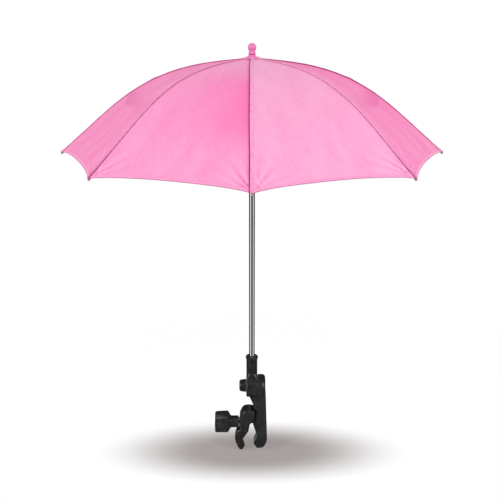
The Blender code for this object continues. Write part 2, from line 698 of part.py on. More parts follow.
def gusset_mesh():
    """The flare from the round tube to the width of the joint, as a hull of a ring and a rectangle."""
    bm = bmesh.new()
    low = math.sqrt(KNUCKLE_RADIUS**2 - GUSSET_HALF_DEPTH**2) - 1.5 * MM
    for x, y in arc((0, 0), SOCKET_RADIUS - 0.4 * MM, 5, 350, 23):
        bm.verts.new((x, y, GUSSET_TOP))
    for x in (KNUCKLE_LEFT + 0.8 * MM, KNUCKLE_RIGHT - 0.8 * MM):
        for y in (-GUSSET_HALF_DEPTH, GUSSET_HALF_DEPTH):
            bm.verts.new((x, y, low))
    hull = bmesh.ops.convex_hull(bm, input=bm.verts)
    loose = [part for part in hull["geom_interior"] if isinstance(part, bmesh.types.BMVert)]
    bmesh.ops.delete(bm, geom=loose, context="VERTS")
    return finished("gusset", bm)


def make_tilt_fasteners(finishes, clamp, washer_slide, knob_spin):
    """The bolt through the tilt joint, its washer and the knob that tightens it."""
    ear_right = KNUCKLE_RIGHT + JOINT_FACE_GAP + EAR_THICKNESS
    knob_face = KNUCKLE_LEFT - GAP
    shank_end = knob_face - TILT_BOLT_IN_KNOB
    head_low = ear_right - TILT_HEAD - 0.2 * MM
    shank = rod("tilt_bolt", TILT_BOLT_RADIUS, shank_end, head_low + 1 * MM, 24, TO_X)
    bolt = add("tilt_bolt", shank, finishes["steel"], clamp, (0, 0, TILT_HEIGHT))
    join(bolt, hexagon("tilt_bolt_head", TILT_HEAD_FLATS, head_low, head_low + TILT_HEAD, TO_X))
    hole = TILT_BOLT_RADIUS + GAP
    washer = [
        (TILT_WASHER_RADIUS, 0),
        (TILT_WASHER_RADIUS, TILT_WASHER),
        (hole, TILT_WASHER),
        (hole, 0),
    ]
    plate = turned("tilt_washer", washer, 24, ring=True, turn=TO_MINUS_X)
    add("tilt_washer", plate, finishes["steel"], washer_slide)
    recess = TILT_WASHER + GAP
    depth = TILT_KNOB_HOLE
    wide = TILT_WASHER_RADIUS + GAP
    length, end, rise = TILT_KNOB_LENGTH, TILT_KNOB_END_RADIUS, TILT_KNOB_ROUND
    profile = [(0, depth), (hole, depth), (hole, recess), (wide, recess), (wide, 0)]
    profile += [(TILT_KNOB_RADIUS - 0.5 * MM, 0), (TILT_KNOB_RADIUS, 0.6 * MM)]
    profile += arc((end - rise, length - rise), rise, 6, 90, 5)
    profile += [(0, length)]
    knob = add("tilt_knob", turned("tilt_knob", profile, 36, turn=TO_MINUS_X), finishes["black"], knob_spin)
    for i in range(TILT_FLUTES):
        turn = math.tau * (i + 0.5) / TILT_FLUTES
        away = Vector((0, math.cos(turn), math.sin(turn))) * (TILT_KNOB_RADIUS + 0.9 * MM)
        start = TILT_FLUTE_RADIUS + 0.1 * MM
        flute = rod(f"tilt_flute_{i}", TILT_FLUTE_RADIUS, start, length + BEYOND, 8, TO_MINUS_X)
        cut(knob, flute, away)


def column_outline():
    """The clamp body's front view below the tilt joint, with the fixed half of the V."""
    points = [
        (2.9, 27.0),
        (2.0, 23.9),
        (11.0, -0.5),
        (3.7, -16.1),
        (9.2, -25.9),
        (11.0, -27.2),
        (20.9, -26.2),
        (25.3, -22.6),
        (29.4, -14.6),
        (30.9, -7.5),
        (27.9, 90.0),
        (26.7, 104.0),
        (2.9, 104.0),
    ]
    return [(x * MM, z * MM) for x, z in points]


def make_clamp_body(finish, parent):
    """The column: ear and cradle of the tilt joint, tongue of the jaw's hinge, and the fixed jaw."""
    outline = column_outline()
    foot, far = COLUMN_FOOT_HALF_DEPTH, COLUMN_HALF_DEPTH + BEYOND
    heights = [z for x, z in outline]
    ends = (max(heights), COLUMN_HALF_DEPTH), (min(heights), foot)
    body = add("clamp_body", wedge("clamp_body", outline, *ends, COLUMN_EDGE), finish, parent)
    lip_cut = [
        (1 * MM, -LIP_HALF_DEPTH),
        (3.7 * MM, -LIP_HALF_DEPTH),
        (14 * MM, -foot - 1.5 * MM),
        (14 * MM, -far),
        (1 * MM, -far),
    ]
    for side in (-1, 1):
        outline = [(x, side * -y) for x, y in lip_cut]
        to_z = Matrix.Rotation(math.pi / 2, 4, "X")
        cut(body, prism(f"lip_facet_{side}", outline, -4 * MM, THROUGH, to_z))
    join(body, tongue_mesh())
    web = [(4, 63), (1.9, 71.5), (-0.6, 77.6), (-4.1, 84.7), (-4.1, 93), (4, 93)]
    web = [(x * MM, z * MM) for x, z in web]
    join(body, prism("cradle_web", web, -CRADLE_WEB_HALF, CRADLE_WEB_HALF))
    knuckle_room = KNUCKLE_RADIUS + GAP
    face = KNUCKLE_RIGHT + JOINT_FACE_GAP
    cut(body, rod("cradle", knuckle_room, -THROUGH, face + 0.1 * MM, 48, TO_X), (0, 0, TILT_HEIGHT))
    join_ear(body)
    notch = [(-20, 66), (6, 66), (9.2, 60.5), (8.2, 44.7), (6.8, 27.5), (5.2, 24), (-20, 24)]
    notch = [(x * MM, z * MM) for x, z in notch]
    for side in (-1, 1):
        low, high = sorted((side * TONGUE_HALF, side * far))
        cut(body, prism(f"jaw_notch_{side}", notch, low, high))
    upright = Matrix.Rotation(math.pi / 2, 4, "X")
    cut(body, rod("pin_hole_body", JAW_PIN_RADIUS + GAP, -far, far, 16, upright), JAW_PIVOT)
    hole = TILT_BOLT_RADIUS + GAP
    cut(body, rod("ear_hole", hole, 0, THROUGH, 24, TO_X), (0, 0, TILT_HEIGHT))
    ear_right = face + EAR_THICKNESS
    pocket = hexagon("head_pocket", TILT_HEAD_FLATS + 2 * GAP, ear_right - TILT_HEAD - 0.5 * MM,
                     ear_right + BEYOND, TO_X)
    cut(body, pocket, (0, 0, TILT_HEIGHT))
    screw_room = SCREW_RADIUS + 2 * GAP
    cut(body, rod("screw_hole", screw_room, -THROUGH, THROUGH, 24, TO_X), (0, 0, SCREW_HEIGHT))
    nut_pocket = hexagon("nut_pocket", NUT_FLATS + 2 * GAP, NUT_LEFT - GAP, THROUGH, TO_X)
    cut(body, nut_pocket, (0, 0, SCREW_HEIGHT))


def join_ear(body):
    """The right half of the tilt joint, a thick disc with a full round on its outer edge."""
    face = KNUCKLE_RIGHT + JOINT_FACE_GAP
    right = face + EAR_THICKNESS
    radius, rise = KNUCKLE_RADIUS, EAR_FILLET
    profile = [(0, face), (radius - 0.6 * MM, face), (radius, face + 0.6 * MM)]
    profile += arc((radius - rise, right - rise), rise, 0, 90, 6)
    profile += [(0, right)]
    join(body, turned("ear", profile, 48, turn=TO_X), (0, 0, TILT_HEIGHT))


def tongue_mesh():
    """The tongue between the moving jaw's ears, about the jaw's pin and rooted in the column."""
    x, z = JAW_PIVOT.x, JAW_PIVOT.z
    outline = arc((x, z), TONGUE_RADIUS, 60, 300, 16)
    outline += [(COLUMN_LEFT + 6 * MM, z - 10 * MM), (COLUMN_LEFT + 6 * MM, z + 10 * MM)]
    return prism("tongue", outline, -TONGUE_HALF, TONGUE_HALF)


def jaw_outline():
    """The curved lever's front view, from the top of its arch down the outer side and up the inner side."""
    upper = [(4.9, 57.0), (-1.0, 58.4), (-8.0, 58.8), (-15.5, 57.3), (-18.8, 54.2), (-21.1, 50.1),
             (-23.3, 45.6), (-24.6, 41.5), (-23.2, 39.6)]
    face = arc((JAW_FACE / MM + JAW_FACE_ROUND / MM, SCREW_HEIGHT / MM), JAW_FACE_ROUND / MM, 163, 197, 6)
    lower = [(-24.4, 13.0), (-28.5, 10.6), (-31.3, 8.2), (-33.4, 2.0), (-34.3, -5.6), (-33.8, -12.5),
             (-32.5, -19.1), (-28.1, -30.6), (-25.2, -34.9), (-21.1, -36.9), (-18.0, -35.0),
             (-14.3, -26.4), (-18.8, -11.4), (-6.6, 8.7), (-4.3, 23.4), (-3.0, 26.6), (-0.9, 28.0),
             (2.6, 28.6), (4.6, 32.5), (6.3, 39.0), (6.9, 45.0), (6.5, 51.0)]
    return [(x * MM, z * MM) for x, z in upper + face + lower]


def make_moving_jaw(finish, parent):
    """The lever: a thick hook with chamfered flanks, ears about the tongue and a slot for the screw."""
    outline = [(x - JAW_PIVOT.x, z - JAW_PIVOT.z) for x, z in jaw_outline()]
    heights = [z for x, z in outline]
    ends = (max(heights), JAW_HALF_DEPTH), (min(heights), JAW_LIP_HALF_DEPTH)
    jaw = add("moving_jaw", wedge("moving_jaw", outline, *ends, JAW_EDGE), finish, parent)
    upright = Matrix.Rotation(math.pi / 2, 4, "X")
    inside = TONGUE_HALF + 2 * GAP
    cut(jaw, rod("tongue_room", TONGUE_RADIUS + GAP, -inside, inside, 40, upright))
    room = [(-0.7, -19), (20, -19), (20, 20), (-0.7, 20)]
    inside += 0.1 * MM
    cut(jaw, prism("root_room", [(x * MM, z * MM) for x, z in room], -inside, inside))
    cut(jaw, rod("jaw_pin_hole", JAW_PIN_RADIUS + GAP, -THROUGH, THROUGH, 16, upright))
    screw_half = SCREW_RADIUS + 2 * GAP
    rise = SCREW_HEIGHT - JAW_PIVOT.z
    low = (-THROUGH, -screw_half, rise - SLOT_BELOW_SCREW)
    cut(jaw, box("screw_slot", low, (THROUGH, screw_half, rise + SLOT_ABOVE_SCREW)))


def make_jaw_pin(finish, parent):
    upright = Matrix.Rotation(math.pi / 2, 4, "X")
    half = JAW_HALF_DEPTH - 1 * MM
    add("jaw_pin", rod("jaw_pin", JAW_PIN_RADIUS, -half, half, 20, upright), finish, parent, JAW_PIVOT)


def make_clamp_screw(finishes, clamp, washer_slide, knob_spin):
    """The clamp's screw in its fluted knob, the washer that pushes the lever, and the nut in the column."""
    washer_face = JAW_FACE - GAP
    neck_face = washer_face - CLAMP_WASHER - GAP
    hole = SCREW_RADIUS + GAP
    ring = [
        (CLAMP_WASHER_RADIUS, 0),
        (CLAMP_WASHER_RADIUS, CLAMP_WASHER),
        (hole, CLAMP_WASHER),
        (hole, 0),
    ]
    plate = turned("clamp_washer", ring, 24, ring=True, turn=TO_MINUS_X)
    add("clamp_washer", plate, finishes["chrome"], washer_slide)
    screw_depth = NECK_LENGTH + SCREW_IN_KNOB
    shoulder, body = NECK_LENGTH, NECK_LENGTH + SHOULDER_LENGTH
    end = body + KNOB_LENGTH
    profile = [
        (0, screw_depth),
        (hole, screw_depth),
        (hole, 0),
        (NECK_RADIUS - 0.8 * MM, 0),
        (NECK_RADIUS, 0.8 * MM),
        (NECK_RADIUS, shoulder - 1.5 * MM),
        (NECK_RADIUS + 1.2 * MM, shoulder),
        (KNOB_RADIUS - 2.2 * MM, body - 0.4 * MM),
        (KNOB_RADIUS, body + 1.8 * MM),
        (KNOB_RADIUS, end - 1.8 * MM),
        (KNOB_RADIUS - 2 * MM, end),
        (0, end),
    ]
    place = (neck_face - washer_face, 0, 0)
    knob_mesh = turned("clamp_knob", profile, 40, turn=TO_MINUS_X)
    knob = add("clamp_knob", knob_mesh, finishes["black"], knob_spin, place)
    lean = math.atan2(FLUTE_DEPTH, KNOB_LENGTH)
    for i in range(KNOB_FLUTES):
        turn = KNOB_TURN + math.tau * i / KNOB_FLUTES
        upright = rod(f"knob_flute_{i}", FLUTE_RADIUS, -3 * MM, KNOB_LENGTH + 2 * BEYOND, 24)
        away = KNOB_RADIUS + FLUTE_RADIUS
        tilt = Matrix.Rotation(-lean, 4, "Y")
        spot = Matrix.Translation((away, 0, body)) @ tilt
        upright.transform(TO_MINUS_X @ Matrix.Rotation(turn, 4, "Z") @ spot)
        cut(knob, upright)
    left = neck_face - screw_depth + GAP - washer_face
    right = SCREW_END - washer_face
    screw = rod("clamp_screw", SCREW_RADIUS, left, right, 24, TO_X)
    add("clamp_screw", screw, finishes["steel"], knob_spin)
    nut_mesh = hexagon("clamp_nut", NUT_FLATS, 0, NUT_THICKNESS, TO_X)
    nut = add("clamp_nut", nut_mesh, finishes["steel"], clamp, (NUT_LEFT, 0, SCREW_HEIGHT))
    cut(nut, rod("nut_hole", hole, -BEYOND, NUT_THICKNESS + BEYOND, 24, TO_X))


def main():
    clear_scene()
    finishes = make_materials()
    clamp = empty("clamp", (0, 0, 0))
    make_clamp_body(finishes["black"], clamp)
    make_jaw_pin(finishes["steel"], clamp)
    jaw_hinge = empty("jaw_hinge", JAW_PIVOT, clamp)
    make_moving_jaw(finishes["black"], jaw_hinge)
    clamp_feed = empty("clamp_feed", (JAW_FACE - GAP, 0, SCREW_HEIGHT), clamp)
    knob_spin = empty("clamp_knob_spin", (0, 0, 0), clamp_feed)
    make_clamp_screw(finishes, clamp, clamp_feed, knob_spin)
    tilt_feed = empty("tilt_feed", (KNUCKLE_LEFT - GAP, 0, TILT_HEIGHT), clamp)
    tilt_spin = empty("tilt_knob_spin", (0, 0, 0), tilt_feed)
    make_tilt_fasteners(finishes, clamp, tilt_feed, tilt_spin)
    mast = empty("tilt_hinge", (0, 0, TILT_HEIGHT), clamp)
    make_socket(finishes["black"], mast)
    make_pole(finishes["chrome"], mast)
    make_catches(finishes["spring"], mast)
    make_crown(finishes["black"], mast)
    make_crown_pin(finishes["steel"], mast)
    hub = (0, 0, HINGE_HEIGHT - TILT_HEIGHT)
    ring_wire("crown_wire", finishes["steel"], mast, hub)
    make_finial(finishes, mast)
    slide = empty("runner_slide", (0, 0, RUNNER_HEIGHT - TILT_HEIGHT), mast)
    make_runner(finishes["black"], slide)
    ring_wire("runner_wire", finishes["steel"], slide, (0, 0, 0))
    make_canopy(finishes, mast)


main()
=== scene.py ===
"""A stroller parasol with its clamp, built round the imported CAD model, in metres.

The sections follow the way it is put together: clamp, tilt joint, pole, hubs, frame, cloth, finial, and
then the studio. The origin is the middle of the tube that the clamp grips, and the pole stands along Z.
"""

import json
import math

import bmesh
import bpy
import numpy as np
from mathutils import Matrix, Vector

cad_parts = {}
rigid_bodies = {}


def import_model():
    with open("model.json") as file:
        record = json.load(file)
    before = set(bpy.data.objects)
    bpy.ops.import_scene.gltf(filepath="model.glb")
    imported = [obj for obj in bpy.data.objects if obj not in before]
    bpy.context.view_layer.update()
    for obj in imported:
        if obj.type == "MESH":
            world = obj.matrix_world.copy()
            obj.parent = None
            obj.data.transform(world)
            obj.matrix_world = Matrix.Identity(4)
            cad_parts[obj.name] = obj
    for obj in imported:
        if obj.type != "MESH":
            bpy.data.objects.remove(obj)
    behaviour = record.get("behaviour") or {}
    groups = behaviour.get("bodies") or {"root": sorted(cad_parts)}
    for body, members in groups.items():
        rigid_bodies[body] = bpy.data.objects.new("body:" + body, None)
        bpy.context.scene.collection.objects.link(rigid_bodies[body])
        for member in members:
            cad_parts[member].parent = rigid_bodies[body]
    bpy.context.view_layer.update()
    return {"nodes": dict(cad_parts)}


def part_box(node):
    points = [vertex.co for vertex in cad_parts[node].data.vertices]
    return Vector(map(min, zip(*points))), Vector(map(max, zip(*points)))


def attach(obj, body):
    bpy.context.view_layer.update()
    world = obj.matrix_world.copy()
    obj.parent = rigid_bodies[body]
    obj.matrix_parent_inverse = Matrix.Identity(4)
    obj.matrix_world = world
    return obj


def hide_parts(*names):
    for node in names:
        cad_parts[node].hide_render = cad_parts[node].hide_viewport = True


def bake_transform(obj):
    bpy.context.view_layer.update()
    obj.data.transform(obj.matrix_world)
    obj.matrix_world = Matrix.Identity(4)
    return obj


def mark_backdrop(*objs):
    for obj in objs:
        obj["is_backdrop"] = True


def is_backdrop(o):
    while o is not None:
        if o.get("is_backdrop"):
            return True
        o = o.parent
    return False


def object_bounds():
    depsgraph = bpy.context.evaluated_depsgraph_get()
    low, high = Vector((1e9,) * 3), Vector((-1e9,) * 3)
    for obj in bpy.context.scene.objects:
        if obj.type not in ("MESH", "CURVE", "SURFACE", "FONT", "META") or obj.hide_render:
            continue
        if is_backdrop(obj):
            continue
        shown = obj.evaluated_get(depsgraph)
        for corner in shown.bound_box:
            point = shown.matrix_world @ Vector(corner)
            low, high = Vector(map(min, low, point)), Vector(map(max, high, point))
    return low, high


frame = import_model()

nodes = frame["nodes"]
MM = 0.001

# The clamp's column, with the fixed half of the V and one ear of the tilt joint, and its moving jaw.
# Both are injection moulded in black glass-filled nylon: edges eased about 1 mm, a fine sparked grain,
# grey where the grain has been rubbed. The CAD's flat facets are remeshed finely and eased.


class Field:
    """A value on a node tree's wire, so that a rule reads as plain arithmetic."""

    def __init__(self, tree, socket):
        self.tree = tree
        self.socket = socket

    def math(self, operation, *others):
        made = self.tree.nodes.new("ShaderNodeMath")
        made.operation = operation
        for socket, source in zip(made.inputs, (self, *others)):
            feed(self.tree, socket, source)
        return Field(self.tree, made.outputs[0])

    def __add__(self, other):
        return self.math("ADD", other)

    def __radd__(self, other):
        return self.math("ADD", other)

    def __sub__(self, other):
        return self.math("SUBTRACT", other)

    def __rsub__(self, other):
        return self.math("MULTIPLY", -1.0).math("ADD", other)

    def __mul__(self, other):
        return self.math("MULTIPLY", other)

    def __rmul__(self, other):
        return self.math("MULTIPLY", other)

    def __truediv__(self, other):
        return self.math("DIVIDE", other)

    def __pow__(self, other):
        return self.math("POWER", other)

    def fade(self, reach):
        """One at nothing, falling away over the reach."""
        return (self / reach * -1).math("EXPONENT")

    def step(self, low, high, start=0.0, end=1.0):
        """A smooth step from start to end as the value goes from low to high."""
        made = self.tree.nodes.new("ShaderNodeMapRange")
        made.interpolation_type = "SMOOTHSTEP"
        for socket, source in zip(made.inputs, (self, low, high, start, end)):
            feed(self.tree, socket, source)
        return Field(self.tree, made.outputs[0])


def feed(tree, socket, source):
    if isinstance(source, Field):
        tree.links.new(source.socket, socket)
    elif source is not None:
        socket.default_value = source


def node(tree, kind, inputs, output=0, **settings):
    """A node with its settings and inputs given, as the Field of one of its outputs."""
    made = tree.nodes.new(kind)
    for setting, value in settings.items():
        setattr(made, setting, value)
    for key, source in inputs.items():
        feed(tree, made.inputs[key], source)
    return Field(tree, made.outputs[output])


def noise(tree, place, scale, detail=2.0, roughness=0.5):
    inputs = {"Vector": place, "Scale": scale, "Detail": detail, "Roughness": roughness}
    return node(tree, "ShaderNodeTexNoise", inputs, "Fac")


def stretched(tree, place, scale):
    return node(tree, "ShaderNodeMapping", {"Vector": place, "Scale": scale})


def blended(tree, share, low, high):
    """A colour between two, by share."""
    colours = {0: share}
    for key, colour in ((6, low), (7, high)):
        colours[key] = colour if isinstance(colour, Field) else (*colour, 1)
    return node(tree, "ShaderNodeMix", colours, 2, data_type="RGBA")


def bump(tree, shader, height, depth, strength):
    made = node(tree, "ShaderNodeBump", {"Height": height, "Distance": depth, "Strength": strength})
    feed(tree, shader.inputs["Normal"], made)


def new_material(name, **constants):
    """A material, its tree and its shader, with the sockets that are the same all over it set."""
    made = bpy.data.materials.new(name)
    made.use_nodes = True
    tree = made.node_tree
    shader = tree.nodes["Principled BSDF"]
    for socket, value in constants.items():
        shader.inputs[socket.replace("_", " ")].default_value = value
    return made, tree, shader


def moulded(name, colour, rubbed, roughness, grain, gloss_level=0.13):
    """Moulded plastic with a sparked grain, cloudy gloss and rubbed edges."""
    made, tree, shader = new_material(name, Specular_IOR_Level=gloss_level)
    place = node(tree, "ShaderNodeTexCoord", {}, "Object")
    cloud = noise(tree, place, 70, 4, 0.6)
    scuffs = noise(tree, stretched(tree, place, (1, 1, 0.25)), 900, 3, 0.7)
    edge = node(tree, "ShaderNodeNewGeometry", {}, "Pointiness").step(0.53, 0.66)
    share = edge * scuffs.step(0.35, 0.65) * 0.7 + cloud.step(0.35, 0.75) * 0.16
    feed(tree, shader.inputs["Base Color"], blended(tree, share, colour, rubbed))
    gloss = cloud.step(0.3, 0.7, roughness - 0.05, roughness + 0.07) + scuffs.step(0.55, 0.7, 0, 0.08)
    feed(tree, shader.inputs["Roughness"], gloss)
    bump(tree, shader, noise(tree, place, 2400, 3, 0.6), grain, 0.35)
    return made


def meshed(piece):
    """The plain mesh that a curve, or a piece with modifiers, comes to."""
    graph = bpy.context.evaluated_depsgraph_get()
    return bpy.data.meshes.new_from_object(piece.evaluated_get(graph))


def settled(piece):
    """Applies a piece's modifiers, so that what is left is a plain mesh."""
    mesh = meshed(piece)
    piece.modifiers.clear()
    piece.data = mesh
    return piece


def put(name, mesh):
    piece = bpy.data.objects.new(name, mesh)
    bpy.context.collection.objects.link(piece)
    return piece


def ended(bm, name):
    mesh = bpy.data.meshes.new(name)
    bm.to_mesh(mesh)
    bm.free()
    return mesh


def smoothed(mesh, angle):
    """Smooth shading, but for the corners that are sharper than the angle in degrees."""
    mesh.shade_smooth()
    mesh.set_sharp_from_angle(angle=math.radians(angle))


def merged_copy(name, source):
    """A copy of a CAD node's mesh as one connected surface."""
    bm = bmesh.new()
    bm.from_mesh(nodes[source].data)
    bmesh.ops.remove_doubles(bm, verts=bm.verts, dist=0.001 * MM)
    return put(name, ended(bm, name))


def eased(name, source, voxel, passes, keep):
    """A fine copy of a CAD node with its edges eased, as a mould leaves them."""
    piece = merged_copy(name, source)
    remesh = piece.modifiers.new("remesh", "REMESH")
    remesh.mode = "VOXEL"
    remesh.voxel_size = voxel
    ease = piece.modifiers.new("ease", "SMOOTH")
    ease.iterations = passes
    thin = piece.modifiers.new("thin", "DECIMATE")
    thin.ratio = keep
    settled(piece).data.shade_smooth()
    return piece


def coat(piece, finish):
    piece.data.materials.clear()
    piece.data.materials.append(finish)


def dress(piece, body, finish, slot, *replaced):
    """A piece's finish, the body that it rides on, and the CAD nodes that it stands for."""
    coat(piece, finish)
    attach(piece, body)
    if replaced:
        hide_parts(*replaced)
    return piece


nylon = moulded("black_nylon", (0.0035, 0.0035, 0.004), (0.032, 0.032, 0.034), 0.36, 0.06 * MM)
dress(eased("column_moulding", "clamp_body", 0.55 * MM, 5, 0.4), "clamp", nylon, "black_plastic",
      "clamp_body")
dress(eased("jaw_moulding", "moving_jaw", 0.5 * MM, 5, 0.5), "jaw", nylon, "black_plastic", "moving_jaw")


# The jaw's hinge pin, the nut that the clamp's screw runs in, and the tilt joint's bolt and washer.
# The pin is blackened steel and the rest zinc plated: a soft, cloudy shine, with 0.2 mm broken edges.


def plated(name, colour, dull, roughness, along=(1, 1, 1)):
    """Plated or bare metal: a cloudy shine with fine draw marks along one way."""
    made, tree, shader = new_material(name, Metallic=1.0)
    place = node(tree, "ShaderNodeTexCoord", {}, "Object")
    cloud = noise(tree, place, 160, 4, 0.6)
    drawn = noise(tree, stretched(tree, place, along), 1800, 2, 0.5)
    feed(tree, shader.inputs["Base Color"], blended(tree, cloud.step(0.35, 0.75), colour, dull))
    gloss = cloud.step(0.3, 0.7, roughness * 0.8, roughness * 1.2) + drawn.step(0.5, 0.8, 0, 0.05)
    feed(tree, shader.inputs["Roughness"], gloss)
    bump(tree, shader, drawn, 0.01 * MM, 0.25)
    return made


def broken_edges(name, source, width, segments=2, angle=35):
    """A copy of a CAD node with its flat faces kept and its sharp edges broken."""
    piece = merged_copy(name, source)
    bm = bmesh.new()
    bm.from_mesh(piece.data)
    flat = {"angle_limit": math.radians(0.5), "verts": bm.verts, "edges": bm.edges}
    bmesh.ops.dissolve_limit(bm, **flat)
    bm.to_mesh(piece.data)
    bm.free()
    bevel = piece.modifiers.new("bevel", "BEVEL")
    bevel.width = width
    bevel.segments = segments
    bevel.limit_method = "ANGLE"
    bevel.angle_limit = math.radians(angle)
    smoothed(settled(piece).data, 30)
    return piece


zinc = plated("zinc_plate", (0.56, 0.56, 0.57), (0.44, 0.45, 0.46), 0.34)
blackened = plated("blackened_steel", (0.045, 0.045, 0.05), (0.03, 0.03, 0.032), 0.42)
for name, source, body, finish in (
    ("hinge_pin", "jaw_pin", "clamp", blackened),
    ("hex_nut", "clamp_nut", "clamp", zinc),
    ("joint_bolt", "tilt_bolt", "clamp", zinc),
    ("joint_washer", "tilt_washer", "tilt_plate", zinc),
):
    dress(broken_edges(name, source, 0.18 * MM), body, finish, "steel", source)


# The clamp's screw: a 7.6 mm rod with a rolled V thread of 1.25 mm pitch, 89.6 mm long, along X. Its
# thread and core are grown from a spiral by Geometry Nodes. The washer before the jaw is blackened.
SCREW_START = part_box("clamp_screw")[0].x
SCREW_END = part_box("clamp_screw")[1].x
SCREW_HEIGHT = 27.3 * MM
SCREW_RADIUS = 3.8 * MM
THREAD_PITCH = 1.25 * MM
THREAD_DEPTH = 0.6 * MM


def new_rule(name, inputs):
    """A Geometry Nodes tree with named inputs, and its inputs as Fields by name."""
    tree = bpy.data.node_groups.new(name, "GeometryNodeTree")
    for label, (kind, value) in inputs.items():
        socket = tree.interface.new_socket(label, in_out="INPUT", socket_type="NodeSocket" + kind)
        if value is not None:
            socket.default_value = value
    tree.interface.new_socket("Geometry", in_out="OUTPUT", socket_type="NodeSocketGeometry")
    given = tree.nodes.new("NodeGroupInput")
    return tree, {label: Field(tree, given.outputs[label]) for label in inputs}


def end_rule(tree, geometry, finish):
    """Ends a tree in Realize Instances and Set Material, which the export needs."""
    real = node(tree, "GeometryNodeRealizeInstances", {0: geometry})
    done = node(tree, "GeometryNodeSetMaterial", {0: real, "Material": finish})
    tree.links.new(done.socket, tree.nodes.new("NodeGroupOutput").inputs[0])


def grown(name, tree, values, seed=None):
    """A plain mesh made by a tree from a seed mesh or curve, with the tree's inputs set by name."""
    piece = put(name, seed or bpy.data.meshes.new(name))
    rule = piece.modifiers.new(tree.name, "NODES")
    rule.node_group = tree
    for socket in tree.interface.items_tree:
        if socket.name in values:
            rule[socket.identifier] = values[socket.name]
    if piece.type == "CURVE":
        mesh = meshed(piece)
        bpy.data.objects.remove(piece, do_unlink=True)
        return put(name, mesh)
    return settled(piece)


def thread_rule():
    """A rolled screw thread round a core, along Z."""
    tree, given = new_rule("rolled_thread", {
        "Radius": ("Float", SCREW_RADIUS),
        "Pitch": ("Float", THREAD_PITCH),
        "Depth": ("Float", THREAD_DEPTH),
        "Length": ("Float", SCREW_END - SCREW_START),
        "Material": ("Material", None),
    })
    middle = given["Radius"] - given["Depth"] * 0.6
    spiral = node(tree, "GeometryNodeCurveSpiral", {
        "Resolution": 20, "Rotations": given["Length"] / given["Pitch"], "Start Radius": middle,
        "End Radius": middle, "Height": given["Length"]})
    tooth = node(tree, "GeometryNodeCurvePrimitiveCircle", {
        "Resolution": 3, "Radius": given["Depth"] * 0.6})
    thread = node(tree, "GeometryNodeCurveToMesh", {0: spiral, 1: tooth})
    core = node(tree, "GeometryNodeMeshCylinder", {
        "Vertices": 32, "Radius": given["Radius"] - given["Depth"] * 0.75, "Depth": given["Length"]})
    rise = node(tree, "ShaderNodeCombineXYZ", {"Z": given["Length"] * 0.5})
    lifted = node(tree, "GeometryNodeTransform", {0: core, "Translation": rise})
    joined = tree.nodes.new("GeometryNodeJoinGeometry")
    for part in (lifted, thread):
        tree.links.new(part.socket, joined.inputs[0])
    end_rule(tree, Field(tree, joined.outputs[0]), given["Material"])
    return tree


bright = plated("bright_screw", (0.60, 0.60, 0.60), (0.46, 0.46, 0.47), 0.28)
screw = grown("screw_thread", thread_rule(), {"Material": bright})
along_x = Matrix.Translation((SCREW_START, 0, SCREW_HEIGHT)) @ Matrix.Rotation(math.pi / 2, 4, "Y")
screw.data.transform(along_x)
smoothed(screw.data, 40)
dress(screw, "screw_knob", bright, "steel", "clamp_screw")
dress(broken_edges("jaw_washer", "clamp_washer", 0.25 * MM), "pressure_washer", blackened, "chrome",
      "clamp_washer")


# The five-fluted clamp knob with its long neck, and the small ribbed knob of the tilt joint. They are
# the same nylon as the clamp, a little glossier where hands have polished them.
polished = moulded("polished_nylon", (0.004, 0.004, 0.0045), (0.036, 0.036, 0.038), 0.32, 0.045 * MM)
dress(eased("fluted_knob", "clamp_knob", 0.45 * MM, 5, 0.6), "screw_knob", polished, "black_plastic",
      "clamp_knob")
dress(eased("ribbed_knob", "tilt_knob", 0.3 * MM, 14, 0.7), "tilt_grip", polished, "black_plastic",
      "tilt_knob")


# The pole's socket, moulded in the clamp's nylon, takes the pole from above and flares from a lipped
# tube into the knuckle of the tilt joint.
dress(eased("socket_moulding", "socket", 0.5 * MM, 4, 0.5), "mast", nylon, "black_plastic", "socket")


# The pole: an 11 mm steel tube, 611 mm long, with a 0.8 mm wall, drawn and chromed. Two slots at the
# back let the spring catches through. The catches are bent strips of blued spring steel.
POLE_RADIUS = 5.5 * MM
POLE_WALL = 0.8 * MM
POLE_LOW = 132.3 * MM
POLE_HIGH = 743.7 * MM
SLOT_HALF = 1.5 * MM
SLOTS = ((537.1 * MM, 548.6 * MM), (359.3 * MM, 370.8 * MM))


def turned(name, profile, steps, ring=False):
    """A profile of radius and height turned about Z, smooth but for its sharp corners."""
    bm = bmesh.new()
    verts = [bm.verts.new((r, 0, z)) for r, z in profile]
    edges = [bm.edges.new(pair) for pair in zip(verts, verts[1:])]
    if ring:
        edges.append(bm.edges.new((verts[-1], verts[0])))
    spun = {"geom": verts + edges, "axis": (0, 0, 1), "cent": (0, 0, 0)}
    bmesh.ops.spin(bm, **spun, angle=math.tau, steps=steps, use_merge=True)
    bmesh.ops.remove_doubles(bm, verts=bm.verts, dist=0.001 * MM)
    bmesh.ops.recalc_face_normals(bm, faces=bm.faces)
    piece = put(name, ended(bm, name))
    smoothed(piece.data, 32)
    return piece


def box(name, low, high):
    bm = bmesh.new()
    bmesh.ops.create_cube(bm, size=1)
    low, high = Vector(low), Vector(high)
    bmesh.ops.scale(bm, vec=high - low, verts=bm.verts)
    bmesh.ops.translate(bm, vec=(low + high) / 2, verts=bm.verts)
    return put(name, ended(bm, name))


